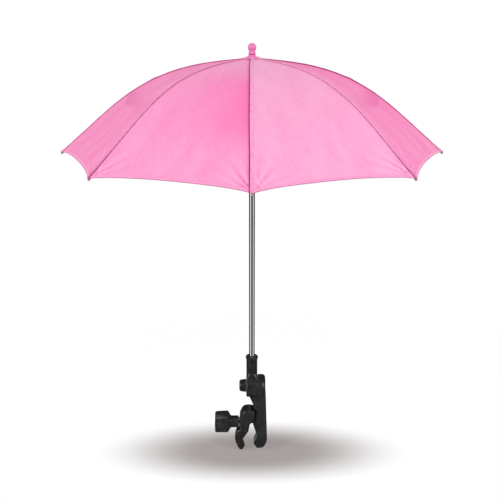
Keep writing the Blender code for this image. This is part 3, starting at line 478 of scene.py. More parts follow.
bore = POLE_RADIUS - POLE_WALL
ease = 0.2 * MM
outside = [(POLE_RADIUS - ease, POLE_LOW), (POLE_RADIUS, POLE_LOW + ease)]
for low, high in reversed(SLOTS):
    outside += [(POLE_RADIUS, low - 5 * MM), (POLE_RADIUS, high + 5 * MM)]
outside += [(POLE_RADIUS, POLE_HIGH - ease), (POLE_RADIUS - ease, POLE_HIGH)]
pole = turned("pole_tube", outside + [(bore, POLE_HIGH), (bore, POLE_LOW)], 64, ring=True)
for i, (low, high) in enumerate(SLOTS):
    cutter = box(f"slot_cutter_{i}", (-SLOT_HALF, 0, low), (SLOT_HALF, 2 * POLE_RADIUS, high))
    slot = pole.modifiers.new(cutter.name, "BOOLEAN")
    slot.solver = "EXACT"
    slot.object = cutter
smoothed(settled(pole).data, 32)
for i in range(len(SLOTS)):
    bpy.data.objects.remove(bpy.data.objects[f"slot_cutter_{i}"], do_unlink=True)
chrome = plated("chrome_plate", (0.74, 0.74, 0.75), (0.66, 0.66, 0.67), 0.07, (1, 1, 0.01))
dress(pole, "mast", chrome, "chrome", "pole")
blued = plated("blued_spring", (0.36, 0.37, 0.40), (0.28, 0.29, 0.33), 0.3)
for place in ("upper", "lower"):
    source = {"upper": "top_catch", "lower": "bottom_catch"}[place]
    dress(broken_edges(f"{place}_spring", source, 0.15 * MM), f"{place}_catch", blued, "spring_steel",
          source)


# The crown, pinned under the top of the pole, and the runner that slides on it. Both are black nylon
# hubs with eight slots, and a steel ring wire in the groove of each threads all eight eyes.
dress(eased("crown_moulding", "crown", 0.32 * MM, 2, 0.5), "mast", nylon, "black_plastic", "crown")
dress(eased("runner_moulding", "runner", 0.34 * MM, 2, 0.5), "slider", nylon, "black_plastic", "runner")
dress(broken_edges("crown_rivet", "crown_pin", 0.2 * MM), "mast", zinc, "steel", "crown_pin")
HUB_RADIUS = 10 * MM
WIRE_RADIUS = 0.5 * MM
for hub, body, place in (("crown", "mast", "crown_wire"), ("runner", "slider", "runner_wire")):
    low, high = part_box(place)
    middle = (low.z + high.z) / 2
    loop = [math.tau * i / 12 for i in range(12)]
    profile = [(HUB_RADIUS + WIRE_RADIUS * math.cos(a), middle + WIRE_RADIUS * math.sin(a)) for a in loop]
    dress(turned(f"{hub}_ring", profile, 64, ring=True), body, zinc, "steel", place)


# Eight ribs and eight stretchers of folded steel channel, nickel plated. Each rib is threaded on the
# crown's ring, each stretcher on the runner's, and a rivet joins them where they meet.
RIBS = 8
nickel = plated("nickel_plate", (0.58, 0.57, 0.55), (0.45, 0.44, 0.43), 0.30)
for i in range(1, RIBS + 1):
    for part in ("rib", "stretcher"):
        dress(broken_edges(f"{part}_bar_{i}", f"{part}_{i}", 0.12 * MM, 1), f"{part}_arm_{i}", nickel,
              "steel", f"{part}_{i}")


# The cap on each rib's end is moulded in pale grey-pink plastic: a short sleeve and a ball, with a ring
# where they meet. It is pushed on the rib under the corner of the cloth.
HINGE_HEIGHT = 735.4 * MM
HINGE_DROP = 0.8 * MM
RIB_LENGTH = 380 * MM
TOP_SLOPE = math.radians(5.5)
TIP_SLOPE = math.radians(40.55)
BEND = (16 * MM, 298 * MM)
CAP_START = 376 * MM
CAP_LENGTH = 6.6 * MM
CAP_SLEEVE = 2.05 * MM
CAP_BORE = 1.75 * MM
CAP_BORE_DEPTH = CAP_LENGTH * 0.45
CAP_BALL = 1.95 * MM
RIB_STEP = 0.5 * MM
FRONT = math.radians(-90)

rib_steps = np.arange(-10 * MM, RIB_LENGTH + 1 * MM, RIB_STEP)


def rib_slope(along):
    share = np.clip((along - BEND[0]) / (BEND[1] - BEND[0]), 0, 1)
    return TOP_SLOPE + (TIP_SLOPE - TOP_SLOPE) * share * share * (3 - 2 * share)


def rib_place(along, lift=0.0, across=0.0):
    """Points above a rib's centre line, in its own upright plane: out from the pole, beside it and up.

    What lies beside the rib follows the two sheets of cloth, which fall away from the ridge between them.
    """
    along = np.asarray(along, float)
    mid = rib_slope(rib_steps[:-1] + RIB_STEP / 2)
    out = np.concatenate([[0], np.cumsum(np.cos(mid)) * RIB_STEP])
    down = np.concatenate([[0], np.cumsum(np.sin(mid)) * RIB_STEP])
    start = np.interp(0, rib_steps, out), np.interp(0, rib_steps, down)
    slope = rib_slope(along)
    x = HUB_RADIUS + np.interp(along, rib_steps, out) - start[0] + lift * np.sin(slope)
    z = HINGE_HEIGHT + HINGE_DROP - np.interp(along, rib_steps, down) + start[1] + lift * np.cos(slope)
    fall = math.tan(math.pi / RIBS) * np.abs(across)
    return np.stack([x - fall, across + 0 * x, z], axis=-1)


def rib_turn(i):
    """Turns a piece made in the plane of azimuth 0 to rib i, counted from 1 at the front."""
    return Matrix.Rotation(FRONT + math.tau / RIBS * (i - 1), 4, "Z")


def ball(radius, middle, start, steps):
    """Points of radius and height round a ball, from a start angle in degrees up to its top."""
    turns = [math.radians(start + (90 - start) * i / steps) for i in range(steps)]
    points = [(radius * math.cos(turn), middle + radius * math.sin(turn)) for turn in turns]
    return points + [(0, middle + radius)]


tip_plastic = moulded("tip_plastic", (0.34, 0.25, 0.28), (0.46, 0.36, 0.39), 0.35, 0.03 * MM)
cap_profile = [(0, CAP_BORE_DEPTH), (CAP_BORE, CAP_BORE_DEPTH), (CAP_BORE, 0)]
cap_profile += [(CAP_SLEEVE - 0.2 * MM, 0), (CAP_SLEEVE, 0.2 * MM), (CAP_SLEEVE, 1.1 * MM)]
cap_profile += [(CAP_SLEEVE - 0.35 * MM, 1.4 * MM), (CAP_SLEEVE - 0.3 * MM, 1.9 * MM)]
cap_profile += ball(CAP_BALL, CAP_LENGTH - CAP_BALL, -20, 16)
cap_place = Matrix.Translation(rib_place(CAP_START)) @ Matrix.Rotation(math.pi / 2 + TIP_SLOPE, 4, "Y")
for i in range(1, RIBS + 1):
    cap = turned(f"cap_ball_{i}", cap_profile, 28)
    cap.data.transform(rib_turn(i) @ cap_place)
    dress(cap, f"rib_arm_{i}", tip_plastic, "cap_plastic", f"tip_cap_{i}")


# The canopy: eight gores of pink polyester taffeta, cut 268 mm wide at the hem and 384 mm long, sewn
# edge to edge and stretched over the ribs. The rule that shapes one gore is a Geometry Nodes tree: it
# hangs between two ribs, hollow in the middle, its hem drawn up, gathered into creases at each tip.
CLOTH_LENGTH = 381.4 * MM
CLOTH_INSIDE = -3 * MM
CLOTH_LIFT = 2.1 * MM
CLOTH_OVER_CAP = 2.6 * MM
CAP_RAMP = (6 * MM, 5 * MM)
JOINT_AT = 165 * MM
JOINT_BUMP = 0.7 * MM
JOINT_WIDTH = 6 * MM
CLOTH_THICKNESS = 0.4 * MM
WEAVE_PITCH = 0.45 * MM
GORE_COLUMNS = 61
GORE_ROWS = 97
GORE_ANGLE = math.tau / RIBS
HEM_RISE = 5.6 * MM
CORNER_RISE = 3.9 * MM
FRONT_CORNER_RISE = 3.0 * MM
GORE_SAG = 5.0 * MM
CREASE_COUNTS = (12.0, 14.0)
CREASE_ROOT = 12 * MM
CREASE_REACH = 17 * MM
CREASE_FROM_SEAM = (3 * MM, 9 * MM)
# Painted colours on the taffeta: shade toward the far rib, crest highlight, fold shade, seam shadow.
SHADE_PINK = (0.92, 0.155, 0.42)
CREST_HIGHLIGHT_PINK = (0.97, 0.50, 0.75)
FOLD_SHADE_PINK = (0.82, 0.085, 0.34)
SEAM_SHADOW_PINK = (0.62, 0.09, 0.32)


def taffeta(name, light, deep):
    """Plain-woven polyester, its weave on the piece's own UV map, which is in metres.

    It carries painted shade toward the far rib, in the folds and gathers at the tips and beside the next
    seam, and a painted highlight on the crests.
    """
    made, tree, shader = new_material(name, Specular_IOR_Level=0.12, Sheen_Weight=0.03,
                                      Sheen_Roughness=0.35)

    def read(name):
        return node(tree, "ShaderNodeAttribute", {}, "Fac", attribute_name=name)

    flat = node(tree, "ShaderNodeUVMap", {}, uv_map="UVMap")
    across = node(tree, "ShaderNodeSeparateXYZ", {0: flat}, "X")
    along = node(tree, "ShaderNodeSeparateXYZ", {0: flat}, "Y")
    warp = noise(tree, stretched(tree, flat, (1400, 14, 1)), 1, 3, 0.6)
    weft = noise(tree, stretched(tree, flat, (14, 1400, 1)), 1, 3, 0.6)
    patches = noise(tree, stretched(tree, flat, (26, 9, 1)), 1, 4, 0.55)
    mottle = noise(tree, stretched(tree, flat, (160, 60, 1)), 1, 3, 0.6)
    # The share of deep pink is painted light and shade per gore; patches, mottle and weave add real tone.
    share = read("shade_and_tone") + patches.step(0.3, 0.72, -0.14, 0.14) + mottle.step(0.35, 0.7, -0.07, 0.07)
    share = share + warp.step(0.3, 0.7, -0.08, 0.08) + weft.step(0.3, 0.7, -0.04, 0.04)
    colour = blended(tree, share.math("MAXIMUM", 0), light, deep)
    far, hem, folds, given_shade = read("far_rib"), read("from_hem"), read("crease"), read("shaded")
    side = read("near_rib").math("MINIMUM", far)
    corner = (side * side + hem * hem).math("SQRT")
    high = hem.step(50 * MM, 130 * MM) * hem.step(215 * MM, 295 * MM, 1.0, 0.15)
    # Painted shade toward the far rib, strongest partway up the gore, and close beside that rib.
    shaded = (far.fade(80 * MM) * high * 0.85 + far.fade(6 * MM) * 0.3) * given_shade
    # Painted shade in the hollows of the tip creases and in the gathers round each corner.
    crease_shade = (folds * -2.2).math("MAXIMUM", 0) * mottle.step(0.3, 0.7, 0.7, 1.1)
    fold_shade = corner.fade(9 * MM) * 0.35 + crease_shade
    # A painted highlight on the crests of the tip creases.
    crest_highlight = (folds * 1.8).math("MAXIMUM", 0).math("MINIMUM", 0.6)
    # Painted shadow in a band just beside the next seam, where the cloth tucks under it.
    tuck_shadow = far.step(4 * MM, 11 * MM, 0.45, 0.0) * given_shade
    colour = blended(tree, shaded.math("MINIMUM", 1), colour, SHADE_PINK)
    colour = blended(tree, crest_highlight, colour, CREST_HIGHLIGHT_PINK)
    colour = blended(tree, fold_shade.math("MINIMUM", 1), colour, FOLD_SHADE_PINK)
    colour = blended(tree, tuck_shadow, colour, SEAM_SHADOW_PINK)
    feed(tree, shader.inputs["Base Color"], colour)
    feed(tree, shader.inputs["Roughness"], patches.step(0.3, 0.7, 0.46, 0.58))
    ends, picks = [(way * (math.tau / WEAVE_PITCH)).math("SINE") for way in (across, along)]
    height = ends * picks * 0.2 + warp * 0.6 + weft * 0.4
    bump(tree, shader, height, 0.05 * MM, 0.3)
    return made


def gore_rule():
    """One gore over the bay that starts at azimuth 0, from the rib line that is the tree's seed."""
    tree, given = new_rule("gore_cloth", {
        "Rib line": ("Geometry", None),
        "Columns": ("Int", GORE_COLUMNS),
        "Rows": ("Int", GORE_ROWS),
        "Gore angle": ("Float", GORE_ANGLE),
        "Length": ("Float", CLOTH_LENGTH - CLOTH_INSIDE),
        "Hem rise": ("Float", HEM_RISE),
        "Corner rise": ("Float", CORNER_RISE),
        "Corner width": ("Float", 0.09),
        "Sag": ("Float", GORE_SAG),
        "Tip creases": ("Float", 2.5 * MM),
        "Ripples": ("Float", 2.2 * MM),
        "Joint bump": ("Float", JOINT_BUMP),
        "Joint from hem": ("Float", CLOTH_LENGTH - JOINT_AT),
        "Shade and tone": ("Float", 0.5),
        "Shaded": ("Float", 0.5),
        "Seed": ("Float", 0.0),
        "Material": ("Material", None),
    })
    grid = node(tree, "GeometryNodeMeshGrid", {
        "Size X": 1.0, "Size Y": 1.0, "Vertices X": given["Columns"], "Vertices Y": given["Rows"]})
    place = node(tree, "GeometryNodeInputPosition", {})

    def store(geometry, name, value, kind="FLOAT", domain="POINT"):
        inputs = {"Geometry": geometry, "Name": name, "Value": value}
        return node(tree, "GeometryNodeStoreNamedAttribute", inputs, data_type=kind, domain=domain)

    def read(name):
        return node(tree, "GeometryNodeInputNamedAttribute", {"Name": name}, data_type="FLOAT")

    cloth = store(grid, "across", node(tree, "ShaderNodeSeparateXYZ", {0: place}, "X") + 0.5)
    cloth = store(cloth, "along", node(tree, "ShaderNodeSeparateXYZ", {0: place}, "Y") + 0.5)
    across, along = read("across"), read("along")
    bow = across * (1 - across) * 4
    corner = across.fade(given["Corner width"]) + (1 - across).fade(given["Corner width"])
    rise = given["Hem rise"] * bow + given["Corner rise"] * (1 - corner)
    factor = along - rise / given["Length"] * along**3
    near = node(tree, "GeometryNodeSampleCurve", {0: given["Rib line"], "Factor": factor}, "Position",
                mode="FACTOR", use_all_curves=True)
    turned_place = {"Vector": near, "Angle": given["Gore angle"]}
    far = node(tree, "ShaderNodeVectorRotate", turned_place, rotation_type="Z_AXIS")
    chord = node(tree, "ShaderNodeMix", {0: across, 4: near, 5: far}, 1, data_type="VECTOR")
    width = node(tree, "ShaderNodeVectorMath", {0: near, 1: far}, "Value", operation="DISTANCE")
    hollow = (bow**0.8) * (along * math.pi).math("SINE") * given["Sag"] * -1
    drop = node(tree, "ShaderNodeCombineXYZ", {"Z": hollow})
    cloth = store(cloth, "near_rib", across * width)
    cloth = store(cloth, "far_rib", (1 - across) * width)
    cloth = store(cloth, "from_hem", (1 - along) * given["Length"])
    cloth = store(cloth, "shade_and_tone", given["Shade and tone"])
    cloth = store(cloth, "shaded", given["Shaded"])
    flat = node(tree, "ShaderNodeCombineXYZ", {"X": (across - 0.5) * width, "Y": along * given["Length"]})
    cloth = store(cloth, "UVMap", flat, "FLOAT2", "CORNER")
    cloth = node(tree, "GeometryNodeSetPosition", {"Geometry": cloth, "Position": chord, "Offset": drop})
    cloth = node(tree, "GeometryNodeFlipFaces", {0: cloth})
    hem, seed = read("from_hem"), given["Seed"]
    waves = None
    for side, count in zip((read("near_rib"), read("far_rib")), CREASE_COUNTS):
        away = (side * side + hem * hem).math("SQRT")
        turn = side.math("ARCTAN2", hem + 0.1 * MM)
        fanned = node(tree, "ShaderNodeCombineXYZ", {"X": turn * 1.5, "Y": away * 30, "Z": seed})
        bent = noise(tree, fanned, 1, 1)
        fold = (turn * (seed.math("SINE") * 1.5 + count) + bent * 3).math("SINE")
        fold = fold * (away / CREASE_ROOT).math("MINIMUM", 1.0) * away.fade(CREASE_REACH)
        fold = fold * turn.step(0.5, 1.5, 1.25, 0.4) * side.step(*CREASE_FROM_SEAM)
        waves = fold if waves is None else waves + fold
    cloth = store(cloth, "crease", waves)
    waves = read("crease")
    broad = node(tree, "ShaderNodeCombineXYZ", {"X": across * 2.2, "Y": along * 3.2, "Z": seed * 7})
    narrow = node(tree, "ShaderNodeCombineXYZ", {"X": across * 9, "Y": along * 4, "Z": seed * 5})
    ripple = (noise(tree, broad, 1.0, 1.0) - 0.5) * 1.0 + (noise(tree, narrow, 1.0, 2.0) - 0.5) * 0.3
    moved = waves * given["Tip creases"] + ripple * given["Ripples"] * bow.math("MINIMUM", 1.0)
    off = (hem - given["Joint from hem"]) / JOINT_WIDTH
    near_joint = read("near_rib").math("MINIMUM", read("far_rib")).fade(9 * MM) * (off * off).fade(1.0)
    moved = moved + near_joint * given["Joint bump"]
    normal = node(tree, "GeometryNodeInputNormal", {})
    offset = node(tree, "ShaderNodeVectorMath", {0: normal, "Scale": moved}, operation="SCALE")
    cloth = node(tree, "GeometryNodeSetPosition", {"Geometry": cloth, "Offset": offset})
    cloth = node(tree, "GeometryNodeSetShadeSmooth", {0: cloth})
    end_rule(tree, cloth, given["Material"])
    return tree


def cloth_lift(along):
    """How far the cloth lies above a rib's centre line, a little more where it covers the cap."""
    before, length = CAP_RAMP
    over = np.clip((along - CAP_START + before) / length, 0, 1)
    return CLOTH_LIFT + (CLOTH_OVER_CAP - CLOTH_LIFT) * over


def walled(sheet):
    """A sheet of cloth with its thickness, half to each side."""
    wall = sheet.modifiers.new("wall", "SOLIDIFY")
    wall.thickness = CLOTH_THICKNESS
    wall.offset = 0
    return settled(sheet)


def polyline(name, points):
    """A curve of straight pieces through the points."""
    curve = bpy.data.curves.new(name, "CURVE")
    curve.dimensions = "3D"
    line = curve.splines.new("POLY")
    line.points.add(len(points) - 1)
    line.points.foreach_set("co", np.column_stack([points, np.ones(len(points))]).ravel())
    return curve


def vectors(mesh, kind):
    """The places or the normals of a mesh's vertices."""
    values = np.zeros(len(mesh.vertices) * 3, np.float32)
    mesh.vertices.foreach_get(kind, values)
    return values.reshape(-1, 3)


def follow_both(piece, i):
    """Bakes a piece's place into its mesh and finds each point's share across gore i's bay, left unused."""
    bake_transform(piece)
    x, y, z = vectors(piece.data, "co").T
    turn = np.arctan2(y, x) - (FRONT + GORE_ANGLE * (i - 1))
    turn = (turn + math.pi) % math.tau - math.pi
    share = np.clip(turn / GORE_ANGLE, 0, 1).astype(np.float32)


cloth_finish = taffeta("pink_taffeta", (0.885, 0.40, 0.62), (0.87, 0.215, 0.465))
# By gore, counted from the front: how deep its pink is, which is painted light and shade on the four gores
# toward the front and a tone that differs from gore to gore behind; how much painted shade it carries
# toward its far rib; and how far its hem rises beside each tip.
GORE_SHADE_AND_TONE = (0.2, 0.9, 0.5, 0.35, 0.6, 0.45, 0.88, 0.46)
SHADED = (0.1, 0.5, 0.5, 0.5, 0.5, 0.5, 0.1, 1.0)
CORNER_RISES = (CORNER_RISE,) * (RIBS - 1) + (FRONT_CORNER_RISE,)
gore_tree = gore_rule()
line_steps = np.linspace(CLOTH_INSIDE, CLOTH_LENGTH, 190)
rib_line = rib_place(line_steps, cloth_lift(line_steps))
gores = {}
for i in range(1, RIBS + 1):
    values = {"Seed": 1.7 * i, "Shade and tone": GORE_SHADE_AND_TONE[i - 1], "Shaded": SHADED[i - 1], "Material": cloth_finish,
              "Corner rise": CORNER_RISES[i - 1]}
    gore = grown(f"gore_cloth_{i}", gore_tree, values, polyline(f"rib_line_{i}", rib_line))
    gore.data.transform(rib_turn(i))
    gores[i] = [vectors(gore.data, kind).astype(float).reshape(GORE_COLUMNS, GORE_ROWS, 3)
                for kind in ("co", "normal")]
    coat(walled(gore), cloth_finish)
    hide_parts(f"gore_{i}")
    follow_both(gore, i)


# A felled seam runs down the outside over each rib: the edge of one gore folded over the other and sewn
# down in two rows of thread. Where a stretcher is riveted to its rib, the joint lifts the cloth.
# The outline gives mm across and up, and how much of the left and of the right fold's shadow falls there.
SEAM_OUTLINE = ((-3.9, -0.1, 1.0, 0.0), (-3.8, 0.35, 1.0, 0.0), (-3.1, 0.48, 1.0, 0.0),
                (-2.3, 0.56, 0.9, 0.0), (-1.8, 0.68, 0.05, 0.0), (0.2, 0.7, 0.0, 0.0),
                (1.3, 0.66, 0.0, 0.1), (1.7, 0.5, 0.0, 1.0), (2.3, 0.48, 0.0, 1.0), (2.8, 0.38, 0.0, 1.0),
                (3.1, 0.1, 0.0, 1.0), (3.1, -0.15, 0.0, 0.8), (0.2, -0.1, 0.0, 0.0))
# For each rib, how its seam lies: mm aside, width, the two shadows, how far they fade to the top, the tip's.
BACK_SEAM = (0.0, 1.0, 0.8, 0.5, 0.2, 0.5)
SEAM_WAYS = ((-1.5, 1.0, 1.0, 0.05, 0.0, 0.15), (0.0, 0.8, 0.8, 0.1, 0.85, 0.6),
             (0.0, 1.0, 1.0, 0.3, 0.0, 0.5), BACK_SEAM, BACK_SEAM, BACK_SEAM,
             (0.0, 1.0, 0.3, 1.0, 0.0, 0.5), (0.0, 0.9, 0.8, 0.75, 0.2, 0.8))
SEAM_WANDER = 0.25 * MM
SEAM_ASIDE_BY = 110 * MM
TIP_SHADOW = 34 * MM
STITCH_PITCH = 2.6 * MM
STITCH_LENGTH = 1.0 * MM
SEWING_THREAD = 0.24 * MM
STITCH_ROWS = ((-2.8, 0.52, "deep"), (0.9, 0.68, "mid"))


def grid_faces(rows, count):
    """The quads between rows of points that each close on themselves."""
    corners = [(r * count + c, r * count + (c + 1) % count) for r in range(rows - 1) for c in range(count)]
    return [(here, beside, beside + count, here + count) for here, beside in corners]


def band(name, loops, shades):
    """A closed strip through a row of loops of points, with flat ends and a shade for each loop's point."""
    rows, count = loops.shape[:2]
    faces = grid_faces(rows, count)
    faces += [tuple(range(count)), tuple(range((rows - 1) * count, rows * count))]
    mesh = bpy.data.meshes.new(name)
    mesh.from_pydata(loops.reshape(-1, 3).tolist(), [], faces)
    bm = bmesh.new()
    bm.from_mesh(mesh)
    bmesh.ops.recalc_face_normals(bm, faces=bm.faces)
    bm.to_mesh(mesh)
    bm.free()
    shade = mesh.attributes.new("shade", "FLOAT", "POINT")
    shade.data.foreach_set("value", np.broadcast_to(shades, (rows, count)).astype(np.float32).ravel())
    mesh.shade_smooth()
    return put(name, mesh)


def folded(name, light, shadow):
    """Folded cloth tape: the canopy's taffeta, with painted shade where the fold tucks under."""
    made, tree, shader = new_material(name, Specular_IOR_Level=0.1, Sheen_Weight=0.03, Sheen_Roughness=0.35)
    place = node(tree, "ShaderNodeTexCoord", {}, "Object")
    tuck_shadow = node(tree, "ShaderNodeAttribute", {}, "Fac", attribute_name="shade")
    mottle = noise(tree, place, 220, 3, 0.6)
    weave = noise(tree, place, 2600, 2, 0.5)
    share = (tuck_shadow + mottle.step(0.35, 0.7) * 0.25 - 0.08).math("MINIMUM", 1).math("MAXIMUM", 0)
    feed(tree, shader.inputs["Base Color"], blended(tree, share, light, shadow))
    feed(tree, shader.inputs["Roughness"], mottle.step(0.3, 0.7, 0.48, 0.6))
    bump(tree, shader, weave, 0.05 * MM, 0.35)
    return made


def thread(name, colour, worn):
    """Twisted polyester sewing thread."""
    made, tree, shader = new_material(name, Specular_IOR_Level=0.15, Sheen_Weight=0.05, Sheen_Roughness=0.4)
    place = node(tree, "ShaderNodeTexCoord", {}, "Object")
    fuzz = noise(tree, place, 3200, 2, 0.6)
    share = noise(tree, place, 300, 2, 0.5).step(0.35, 0.7)
    feed(tree, shader.inputs["Base Color"], blended(tree, share, colour, worn))
    feed(tree, shader.inputs["Roughness"], fuzz.step(0.3, 0.7, 0.42, 0.62))
    bump(tree, shader, fuzz, 0.04 * MM, 0.4)
    return made


def stitch_rule():
    """A row of stitches along the line that is the tree's seed."""
    tree, given = new_rule("stitch_row", {
        "Line": ("Geometry", None),
        "Pitch": ("Float", STITCH_PITCH),
        "Stitch": ("Float", STITCH_LENGTH),
        "Thread": ("Float", SEWING_THREAD),
        "Material": ("Material", None),
    })
    spaced = {0: given["Line"], "Length": given["Pitch"]}
    line = node(tree, "GeometryNodeResampleCurve", spaced, mode="LENGTH")
    tangent = node(tree, "GeometryNodeInputTangent", {})
    turn = node(tree, "FunctionNodeAlignRotationToVector", {"Vector": tangent}, axis="X")
    size = node(tree, "ShaderNodeCombineXYZ", {0: given["Stitch"], 1: given["Thread"], 2: given["Thread"]})
    bead = node(tree, "GeometryNodeMeshUVSphere", {"Segments": 6, "Rings": 4, "Radius": 1.0})
    row = node(tree, "GeometryNodeInstanceOnPoints", {
        "Points": line, "Instance": bead, "Rotation": turn, "Scale": size})
    row = node(tree, "GeometryNodeSetShadeSmooth", {0: row})
    end_rule(tree, row, given["Material"])
    return tree


def seam_lift(along):
    """How far a seam stands above a rib's centre line."""
    joint = JOINT_BUMP * np.exp(-(((along - JOINT_AT) / JOINT_WIDTH) ** 2))
    pucker = 0.12 * MM * np.sin(along / (4.1 * MM)) * np.sin(along / (11 * MM) + 1)
    return cloth_lift(along) + joint + pucker


seam_cloth = folded("seam_cloth", (0.90, 0.37, 0.61), (0.35, 0.02, 0.15))
# A real row of stitches, its deep thread as dark as the painted fold shadow it lies in, adding to that line.
seam_threads = {"deep": thread("deep_pink_thread", (0.50, 0.035, 0.22), (0.40, 0.03, 0.18)),
                "mid": thread("mid_pink_thread", (0.90, 0.28, 0.55), (0.82, 0.22, 0.48)),
                "light": thread("pink_thread", (0.94, 0.33, 0.60), (0.86, 0.26, 0.52))}
stitch_tree = stitch_rule()
seam_steps = np.arange(7 * MM, CLOTH_LENGTH + 0.4 * MM, 2.0 * MM)
outline = np.array(SEAM_OUTLINE)
for i in range(1, RIBS + 1):
    shift, width, left, right, faded, tip = SEAM_WAYS[i - 1]
    drift = SEAM_WANDER * np.sin(seam_steps / (27 * MM) + 2.1 * i)
    drift += shift * MM * np.clip(seam_steps / SEAM_ASIDE_BY, 0, 1)
    loops = [rib_place(seam_steps, seam_lift(seam_steps) + height, across * width + drift)
             for across, height in outline[:, :2] * MM]
    near_tip = tip * np.exp((seam_steps[:, None] - CLOTH_LENGTH) / TIP_SHADOW)
    paler = 1 - faded * (1 - seam_steps[:, None] / CLOTH_LENGTH)
    shades = (outline[:, 2] * left + outline[:, 3] * right) * paler + near_tip
    seam = band(f"seam_fold_{i}", np.stack(loops, axis=1), shades)
    seam.data.transform(rib_turn(i))
    dress(seam, f"rib_arm_{i}", seam_cloth, "cloth")
    for across, height, tone in STITCH_ROWS:
        line = rib_place(seam_steps, seam_lift(seam_steps) + height * MM, across * width * MM + drift)
        sewn = seam_threads["light" if faded > 0.5 else tone]
        row = grown(f"seam_{tone}_stitches_{i}", stitch_tree, {"Material": sewn},
                    polyline(f"seam_{tone}_line_{i}", line))
        row.data.transform(rib_turn(i))
        dress(row, f"rib_arm_{i}", sewn, "cloth")


# The hem of each gore is turned under, 5 mm wide, and sewn with one row. Its fold carries a soft grey
# shadow. The outline gives mm in and up, and the shadow.
HEM_STITCHES = (3.7 * MM, 0.40 * MM)
HEM_OUTLINE = ((5.0, 0.15, 0.0), (4.7, 0.32, 0.0), (2.6, 0.42, 0.0), (1.1, 0.42, 0.0), (0.7, 0.4, 0.8),
               (-0.3, 0.0, 1.0), (0.2, -0.4, 1.0), (2.6, -0.5, 0.3), (4.8, -0.42, 0.3), (5.0, -0.2, 0.5))


def on_gore(i, from_hem, height):
    """A line of points across gore i, at a distance from its hem and a height over the cloth."""
    places, normals = gores[i]
    edge, inside = places[:, -1], places[:, -4]
    away = inside - edge
    away /= np.linalg.norm(away, axis=1, keepdims=True)
    return edge + away * from_hem + normals[:, -2] * height


hem_cloth = folded("hem_cloth", (0.95, 0.35, 0.61), (0.40, 0.12, 0.25))
for i in range(1, RIBS + 1):
    loops = [on_gore(i, inward * MM, height * MM) for inward, height, shade in HEM_OUTLINE]
    hem = band(f"hem_fold_{i}", np.stack(loops, axis=1), [shade for inward, height, shade in HEM_OUTLINE])
    line = polyline(f"hem_line_{i}", on_gore(i, *HEM_STITCHES)[1:-1])
    row = grown(f"hem_stitches_{i}", stitch_tree, {"Material": seam_threads["light"]}, line)
    for piece, finish in ((hem, hem_cloth), (row, seam_threads["light"])):
        coat(piece, finish)
        follow_both(piece, i)
    seam = [bpy.data.objects[f"seam_{part}_{i}"] for part in ("fold", "deep_stitches", "mid_stitches")]


# Two ties of sewing thread hold each seam down on its rib, a third and two thirds of the way out. Each
# is three turns round the rib, drawn tight under the cloth.
TIES = (125 * MM, 250 * MM)
TIE_THREAD = 0.3 * MM
TIE_TURN = 3 * math.tau
TIE_RADIUS = 1.9 * MM
TIE_SPREAD = 2.0 * MM


def tied(name, along):
    """Three turns of thread round a rib and the seam above it."""
    turns = np.linspace(0, TIE_TURN, 61)
    across, lift = TIE_RADIUS * np.cos(turns), TIE_RADIUS * np.sin(turns)
    square = np.maximum(np.abs(np.cos(turns)), np.abs(np.sin(turns)))
    along = along + (turns / TIE_TURN - 0.5) * TIE_SPREAD
    centre = rib_place(along, lift / square + 0.1 * MM)
    centre[:, 1] += across / square * 0.85
    curve = polyline(name, centre)
    curve.bevel_depth = TIE_THREAD
    curve.bevel_resolution = 1
    curve.use_fill_caps = True
    piece = put(name, curve)
    mesh = meshed(piece)
    bpy.data.objects.remove(piece, do_unlink=True)
    mesh.shade_smooth()
    return mesh


for i in range(1, RIBS + 1):
    for k, along in enumerate(TIES):
        tie = put(f"rib_tie_{i}_{k + 1}", tied(f"tie_line_{i}_{k}", along))
        tie.data.transform(rib_turn(i))
        dress(tie, f"rib_arm_{i}", seam_threads["light"], "cloth")


# Where the gores meet, a gathered collar of the same taffeta lies over their points. It is held down by
# a soft ring under the finial, and spreads in shallow pleats on the canopy's top.
COLLAR_OUTLINE = ((4.9, 743.9), (5.8, 743.85), (6.4, 743.1), (7.4, 741.9), (8.8, 740.8), (10.6, 740.0),
                  (12.8, 739.3), (15.2, 738.8), (17.2, 738.35), (18.9, 737.95))
COLLAR_PLEATS = 16
PLEAT_DEPTHS = (0.42, 0.22, 0.35)
PLEATS_FROM = 6.0

turns = np.linspace(0, math.tau, 145)[:-1]
deep, shallow, wavy = PLEAT_DEPTHS
fold = np.sin(COLLAR_PLEATS * turns + 0.9 * np.sin(3 * turns)) * deep
fold += shallow * np.sin(27 * turns + 1.3)
rings = []
pleat_shades = []
for r, z in COLLAR_OUTLINE:
    reach = np.clip((r - PLEATS_FROM) / 6.0, 0, 1) * np.clip((20.5 - r) / 5, 0.35, 1)
    wide = r + wavy * reach * np.cos(COLLAR_PLEATS / 2 * turns + 0.6)
    rings.append(np.stack([wide * np.cos(turns), wide * np.sin(turns), z + fold * reach], axis=1) * MM)
    # Painted shade in the hollows of the pleats, and all round the middle under the finial's ring.
    pleat_shades.append(np.clip(0.55 - fold * reach * 0.9, 0, 1) * np.clip((20 - r) / 8, 0, 1))
quads = [(a, d, c, b) for a, b, c, d in grid_faces(len(rings), len(turns))]
collar_mesh = bpy.data.meshes.new("gathered_collar")
collar_mesh.from_pydata(np.concatenate(rings).tolist(), [], quads)
shade = collar_mesh.attributes.new("shade", "FLOAT", "POINT")
shade.data.foreach_set("value", np.concatenate(pleat_shades).astype(np.float32))
collar = put("gathered_collar", collar_mesh)
walled(collar).data.shade_smooth()
collar_cloth = folded("collar_cloth", (0.90, 0.35, 0.61), (0.72, 0.12, 0.38))
dress(collar, "mast", collar_cloth, "cloth", "cloth_collar")


# The finial: a ball on a waisted neck, turned in glossy pink plastic, pushed into the pole on its
# spigot, and the darker pink ring that it presses on the collar.
FINIAL_LOW = 745.6
FINIAL_BALL_HEIGHT = 756.5
FINIAL_BALL = 7.5

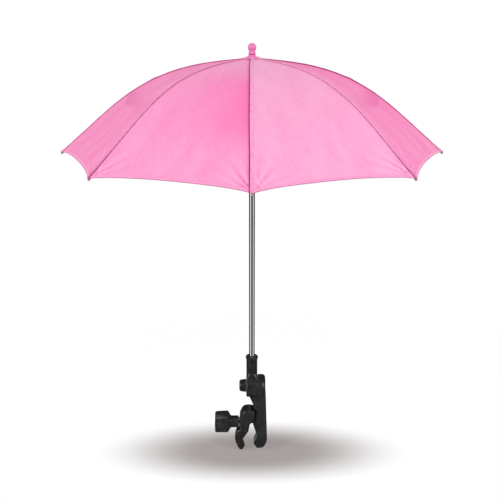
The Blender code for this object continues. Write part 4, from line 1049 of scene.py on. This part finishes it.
finial_outline = [(0, FINIAL_LOW - 14), (4.0, FINIAL_LOW - 14), (4.4, FINIAL_LOW - 13.6), (4.4, FINIAL_LOW),
                  (5.9, FINIAL_LOW), (6.3, FINIAL_LOW + 0.25), (6.45, FINIAL_LOW + 0.8),
                  (6.45, FINIAL_LOW + 1.6), (6.3, FINIAL_LOW + 2.3), (5.95, FINIAL_LOW + 3.2),
                  (5.7, FINIAL_LOW + 4.2), (5.65, FINIAL_LOW + 5.0), (5.75, FINIAL_LOW + 5.7)]
finial_outline += ball(FINIAL_BALL, FINIAL_BALL_HEIGHT, -38, 23)
glossy_pink = moulded("glossy_pink_plastic", (0.74, 0.17, 0.42), (0.84, 0.40, 0.60), 0.14, 0.01 * MM, 0.4)
finial = turned("finial_ball", [(r * MM, z * MM) for r, z in finial_outline], 48)
dress(finial, "mast", glossy_pink, "finial", "finial")
ring_outline = ((4.7, 744.35), (6.0, 744.3), (6.2, 744.5), (6.2, 745.1), (6.0, 745.3), (4.7, 745.25))
ring_pink = moulded("ring_pink_plastic", (0.62, 0.06, 0.28), (0.74, 0.16, 0.40), 0.35, 0.02 * MM)
ring = turned("finial_ring", [(r * MM, z * MM) for r, z in ring_outline], 48, ring=True)
dress(ring, "mast", ring_pink, "finial_washer", "finial_washer")


# The studio: a white floor with a soft grey oval of painted shadow under the clamp, a large key lamp in
# front, weaker lamps at the left and the right, and two small ones that pick out the clamp's edges.
FLOOR = -38 * MM
FLOOR_RADIUS = 3.0
SHADOW_PLACE = (0.0005, -0.005, 0)
SHADOW_SIZE = (0.205, 0.079, 1)
SHADOW_GREY = (0.29, 0.26, 0.25)


def seen(tree):
    """One for rays that show the background itself, and nothing for light on its way to the object."""
    path = tree.nodes.new("ShaderNodeLightPath")
    rays = [Field(tree, path.outputs[f"Is {kind} Ray"]) for kind in ("Camera", "Glossy", "Transmission")]
    return rays[0].math("MAXIMUM", rays[1]).math("MAXIMUM", rays[2])


def one_sided(tree, shown, hidden):
    """Shows one shader from the front of a face and another from its back."""
    behind = node(tree, "ShaderNodeNewGeometry", {}, "Backfacing")
    mixed = node(tree, "ShaderNodeMixShader", {0: behind, 1: shown, 2: hidden})
    feed(tree, tree.nodes["Material Output"].inputs["Surface"], mixed)


def disc(name, radius, height, segments, finish):
    bm = bmesh.new()
    bmesh.ops.create_circle(bm, cap_ends=True, radius=radius, segments=segments)
    bmesh.ops.translate(bm, vec=(0, 0, height), verts=bm.verts)
    piece = put(name, ended(bm, name))
    coat(piece, finish)
    return piece


floor_white, tree, shader = new_material("white_floor", Roughness=0.9, Specular_IOR_Level=0.0)
shader.inputs["Base Color"].default_value = (0.95, 0.95, 0.95, 1)
place = node(tree, "ShaderNodeTexCoord", {}, "Object")
middle = node(tree, "ShaderNodeVectorMath", {0: place, 1: SHADOW_PLACE}, operation="SUBTRACT")
middle = stretched(tree, middle, tuple(1 / size for size in SHADOW_SIZE))
reach = node(tree, "ShaderNodeVectorMath", {0: middle}, "Value", operation="LENGTH")
# Painted shadow: a soft grey oval on the floor under the clamp.
shadow_share = reach.step(0.45, 1.65, 1.0, 0.0)
tone = blended(tree, shadow_share, (1, 1, 1), SHADOW_GREY)
glow = node(tree, "ShaderNodeEmission", {"Color": tone, "Strength": 1.0})
far = node(tree, "ShaderNodeVectorMath", {0: place}, "Value", operation="LENGTH").step(0.25, 1.0, 0.95, 1.0)
shown = seen(tree) * far
mixed = node(tree, "ShaderNodeMixShader", {0: shown, 1: Field(tree, shader.outputs[0]), 2: glow})
one_sided(tree, mixed, node(tree, "ShaderNodeBsdfTransparent", {}))
floor = disc("floor", FLOOR_RADIUS, FLOOR, 64, floor_white)


# Flags stand round the pole, a grey one in front and black ones at both sides, as for any photograph of
# chrome. A grey card lies under the canopy and keeps its pink out of the black parts, clear from above.
# Only shine sees them. Each flag is given by its two edges, in degrees from the front, and its grey.
FLAGS = ((-38, 46, 0.14), (74, 176, 0.0), (-176, -76, 0.0))
FLAG_AWAY = 0.22
FLAG_TOP = 0.70
FLAG_PANELS = 12
CARD_HEIGHT = 0.25
CARD_GREY = 0.22


def shine_grey(name, glow):
    """The grey of a flag or a card, which gives its own light, so that the lamps don't change it."""
    made, tree, shader = new_material(name, Roughness=0.8, Specular_IOR_Level=0.0)
    shader.inputs["Base Color"].default_value = (0.03, 0.03, 0.03, 1)
    shader.inputs["Emission Color"].default_value = (1, 1, 1, 1)
    shader.inputs["Emission Strength"].default_value = glow
    return made, tree, Field(tree, shader.outputs[0])


flags = []
for i, (start, end, glow) in enumerate(FLAGS):
    turns = np.radians(np.linspace(start, end, FLAG_PANELS + 1) - 90)
    foot = np.stack([np.cos(turns), np.sin(turns), 0 * turns], axis=1) * FLAG_AWAY
    points = np.concatenate([foot + (0, 0, FLOOR + 1 * MM), foot + (0, 0, FLAG_TOP)])
    above = FLAG_PANELS + 1
    mesh = bpy.data.meshes.new(f"flag_{i}")
    mesh.from_pydata(points.tolist(), [], [(k, k + 1, k + 1 + above, k + above) for k in range(FLAG_PANELS)])
    mesh.materials.append(shine_grey(f"flag_grey_{i}", glow)[0])
    flags.append(put(f"flag_{i}", mesh))
card_grey, tree, grey = shine_grey("card_grey", CARD_GREY)
one_sided(tree, node(tree, "ShaderNodeBsdfTransparent", {}), grey)
card = disc("card", FLAG_AWAY, CARD_HEIGHT, 48, card_grey)
for piece in (card, *flags):
    piece.visible_camera = piece.visible_diffuse = piece.visible_shadow = piece.visible_transmission = False
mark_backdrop(floor, card, *flags)

# The surroundings are white to the camera and to shine, and light the object a little less strongly.
WORLD_LIGHT = 0.735
world = bpy.data.worlds.new("studio")
bpy.context.scene.world = world
world.use_nodes = True
tree = world.node_tree
background = tree.nodes["Background"]
background.inputs["Color"].default_value = (1, 1, 1, 1)
feed(tree, background.inputs["Strength"], seen(tree).step(0.0, 1.0, WORLD_LIGHT, 1.0))


def lamp(name, place, aim, size, power):
    """A round soft lamp of a size in metres and a power in watts, turned to its aim."""
    light = bpy.data.lights.new(name, "AREA")
    light.shape = "DISK"
    light.size = size
    light.energy = power
    made = put(name, light)
    made.location = place
    made.rotation_euler = (Vector(aim) - Vector(place)).to_track_quat("-Z", "Y").to_euler()
    return made


lamp("key", (0.4, -1.9, 1.8), (0, 0, 0.65), 1.2, 14)
lamp("fill", (-1.7, -0.9, 0.8), (0, 0, 0.5), 1.0, 8)
lamp("side", (1.7, -0.6, 1.0), (0, 0, 0.5), 1.0, 5)
for side in (-1, 1):
    kicker = lamp(f"kicker_{side + 2}", (side * 0.55, -0.45, 0.42), (0, 0, 0.07), 0.22, 0.9)
    kicker.data.spread = math.radians(50)


# The camera stands level with the canopy's top, 1.28 m away, and looks down 17 degrees, as the photo's did.
CAMERA_PLACE = (-0.0036, -1.2815, 0.7834)
CAMERA_DOWN = 17.05
CAMERA_LENS = 51.4
camera = put("camera", bpy.data.cameras.new("camera"))
camera.location = CAMERA_PLACE
camera.rotation_euler = (math.radians(90 - CAMERA_DOWN), 0, 0)
camera.data.lens = CAMERA_LENS
camera.data.sensor_width = 36
bpy.context.scene.camera = camera
bpy.context.scene.view_settings.view_transform = "Standard"
low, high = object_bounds()
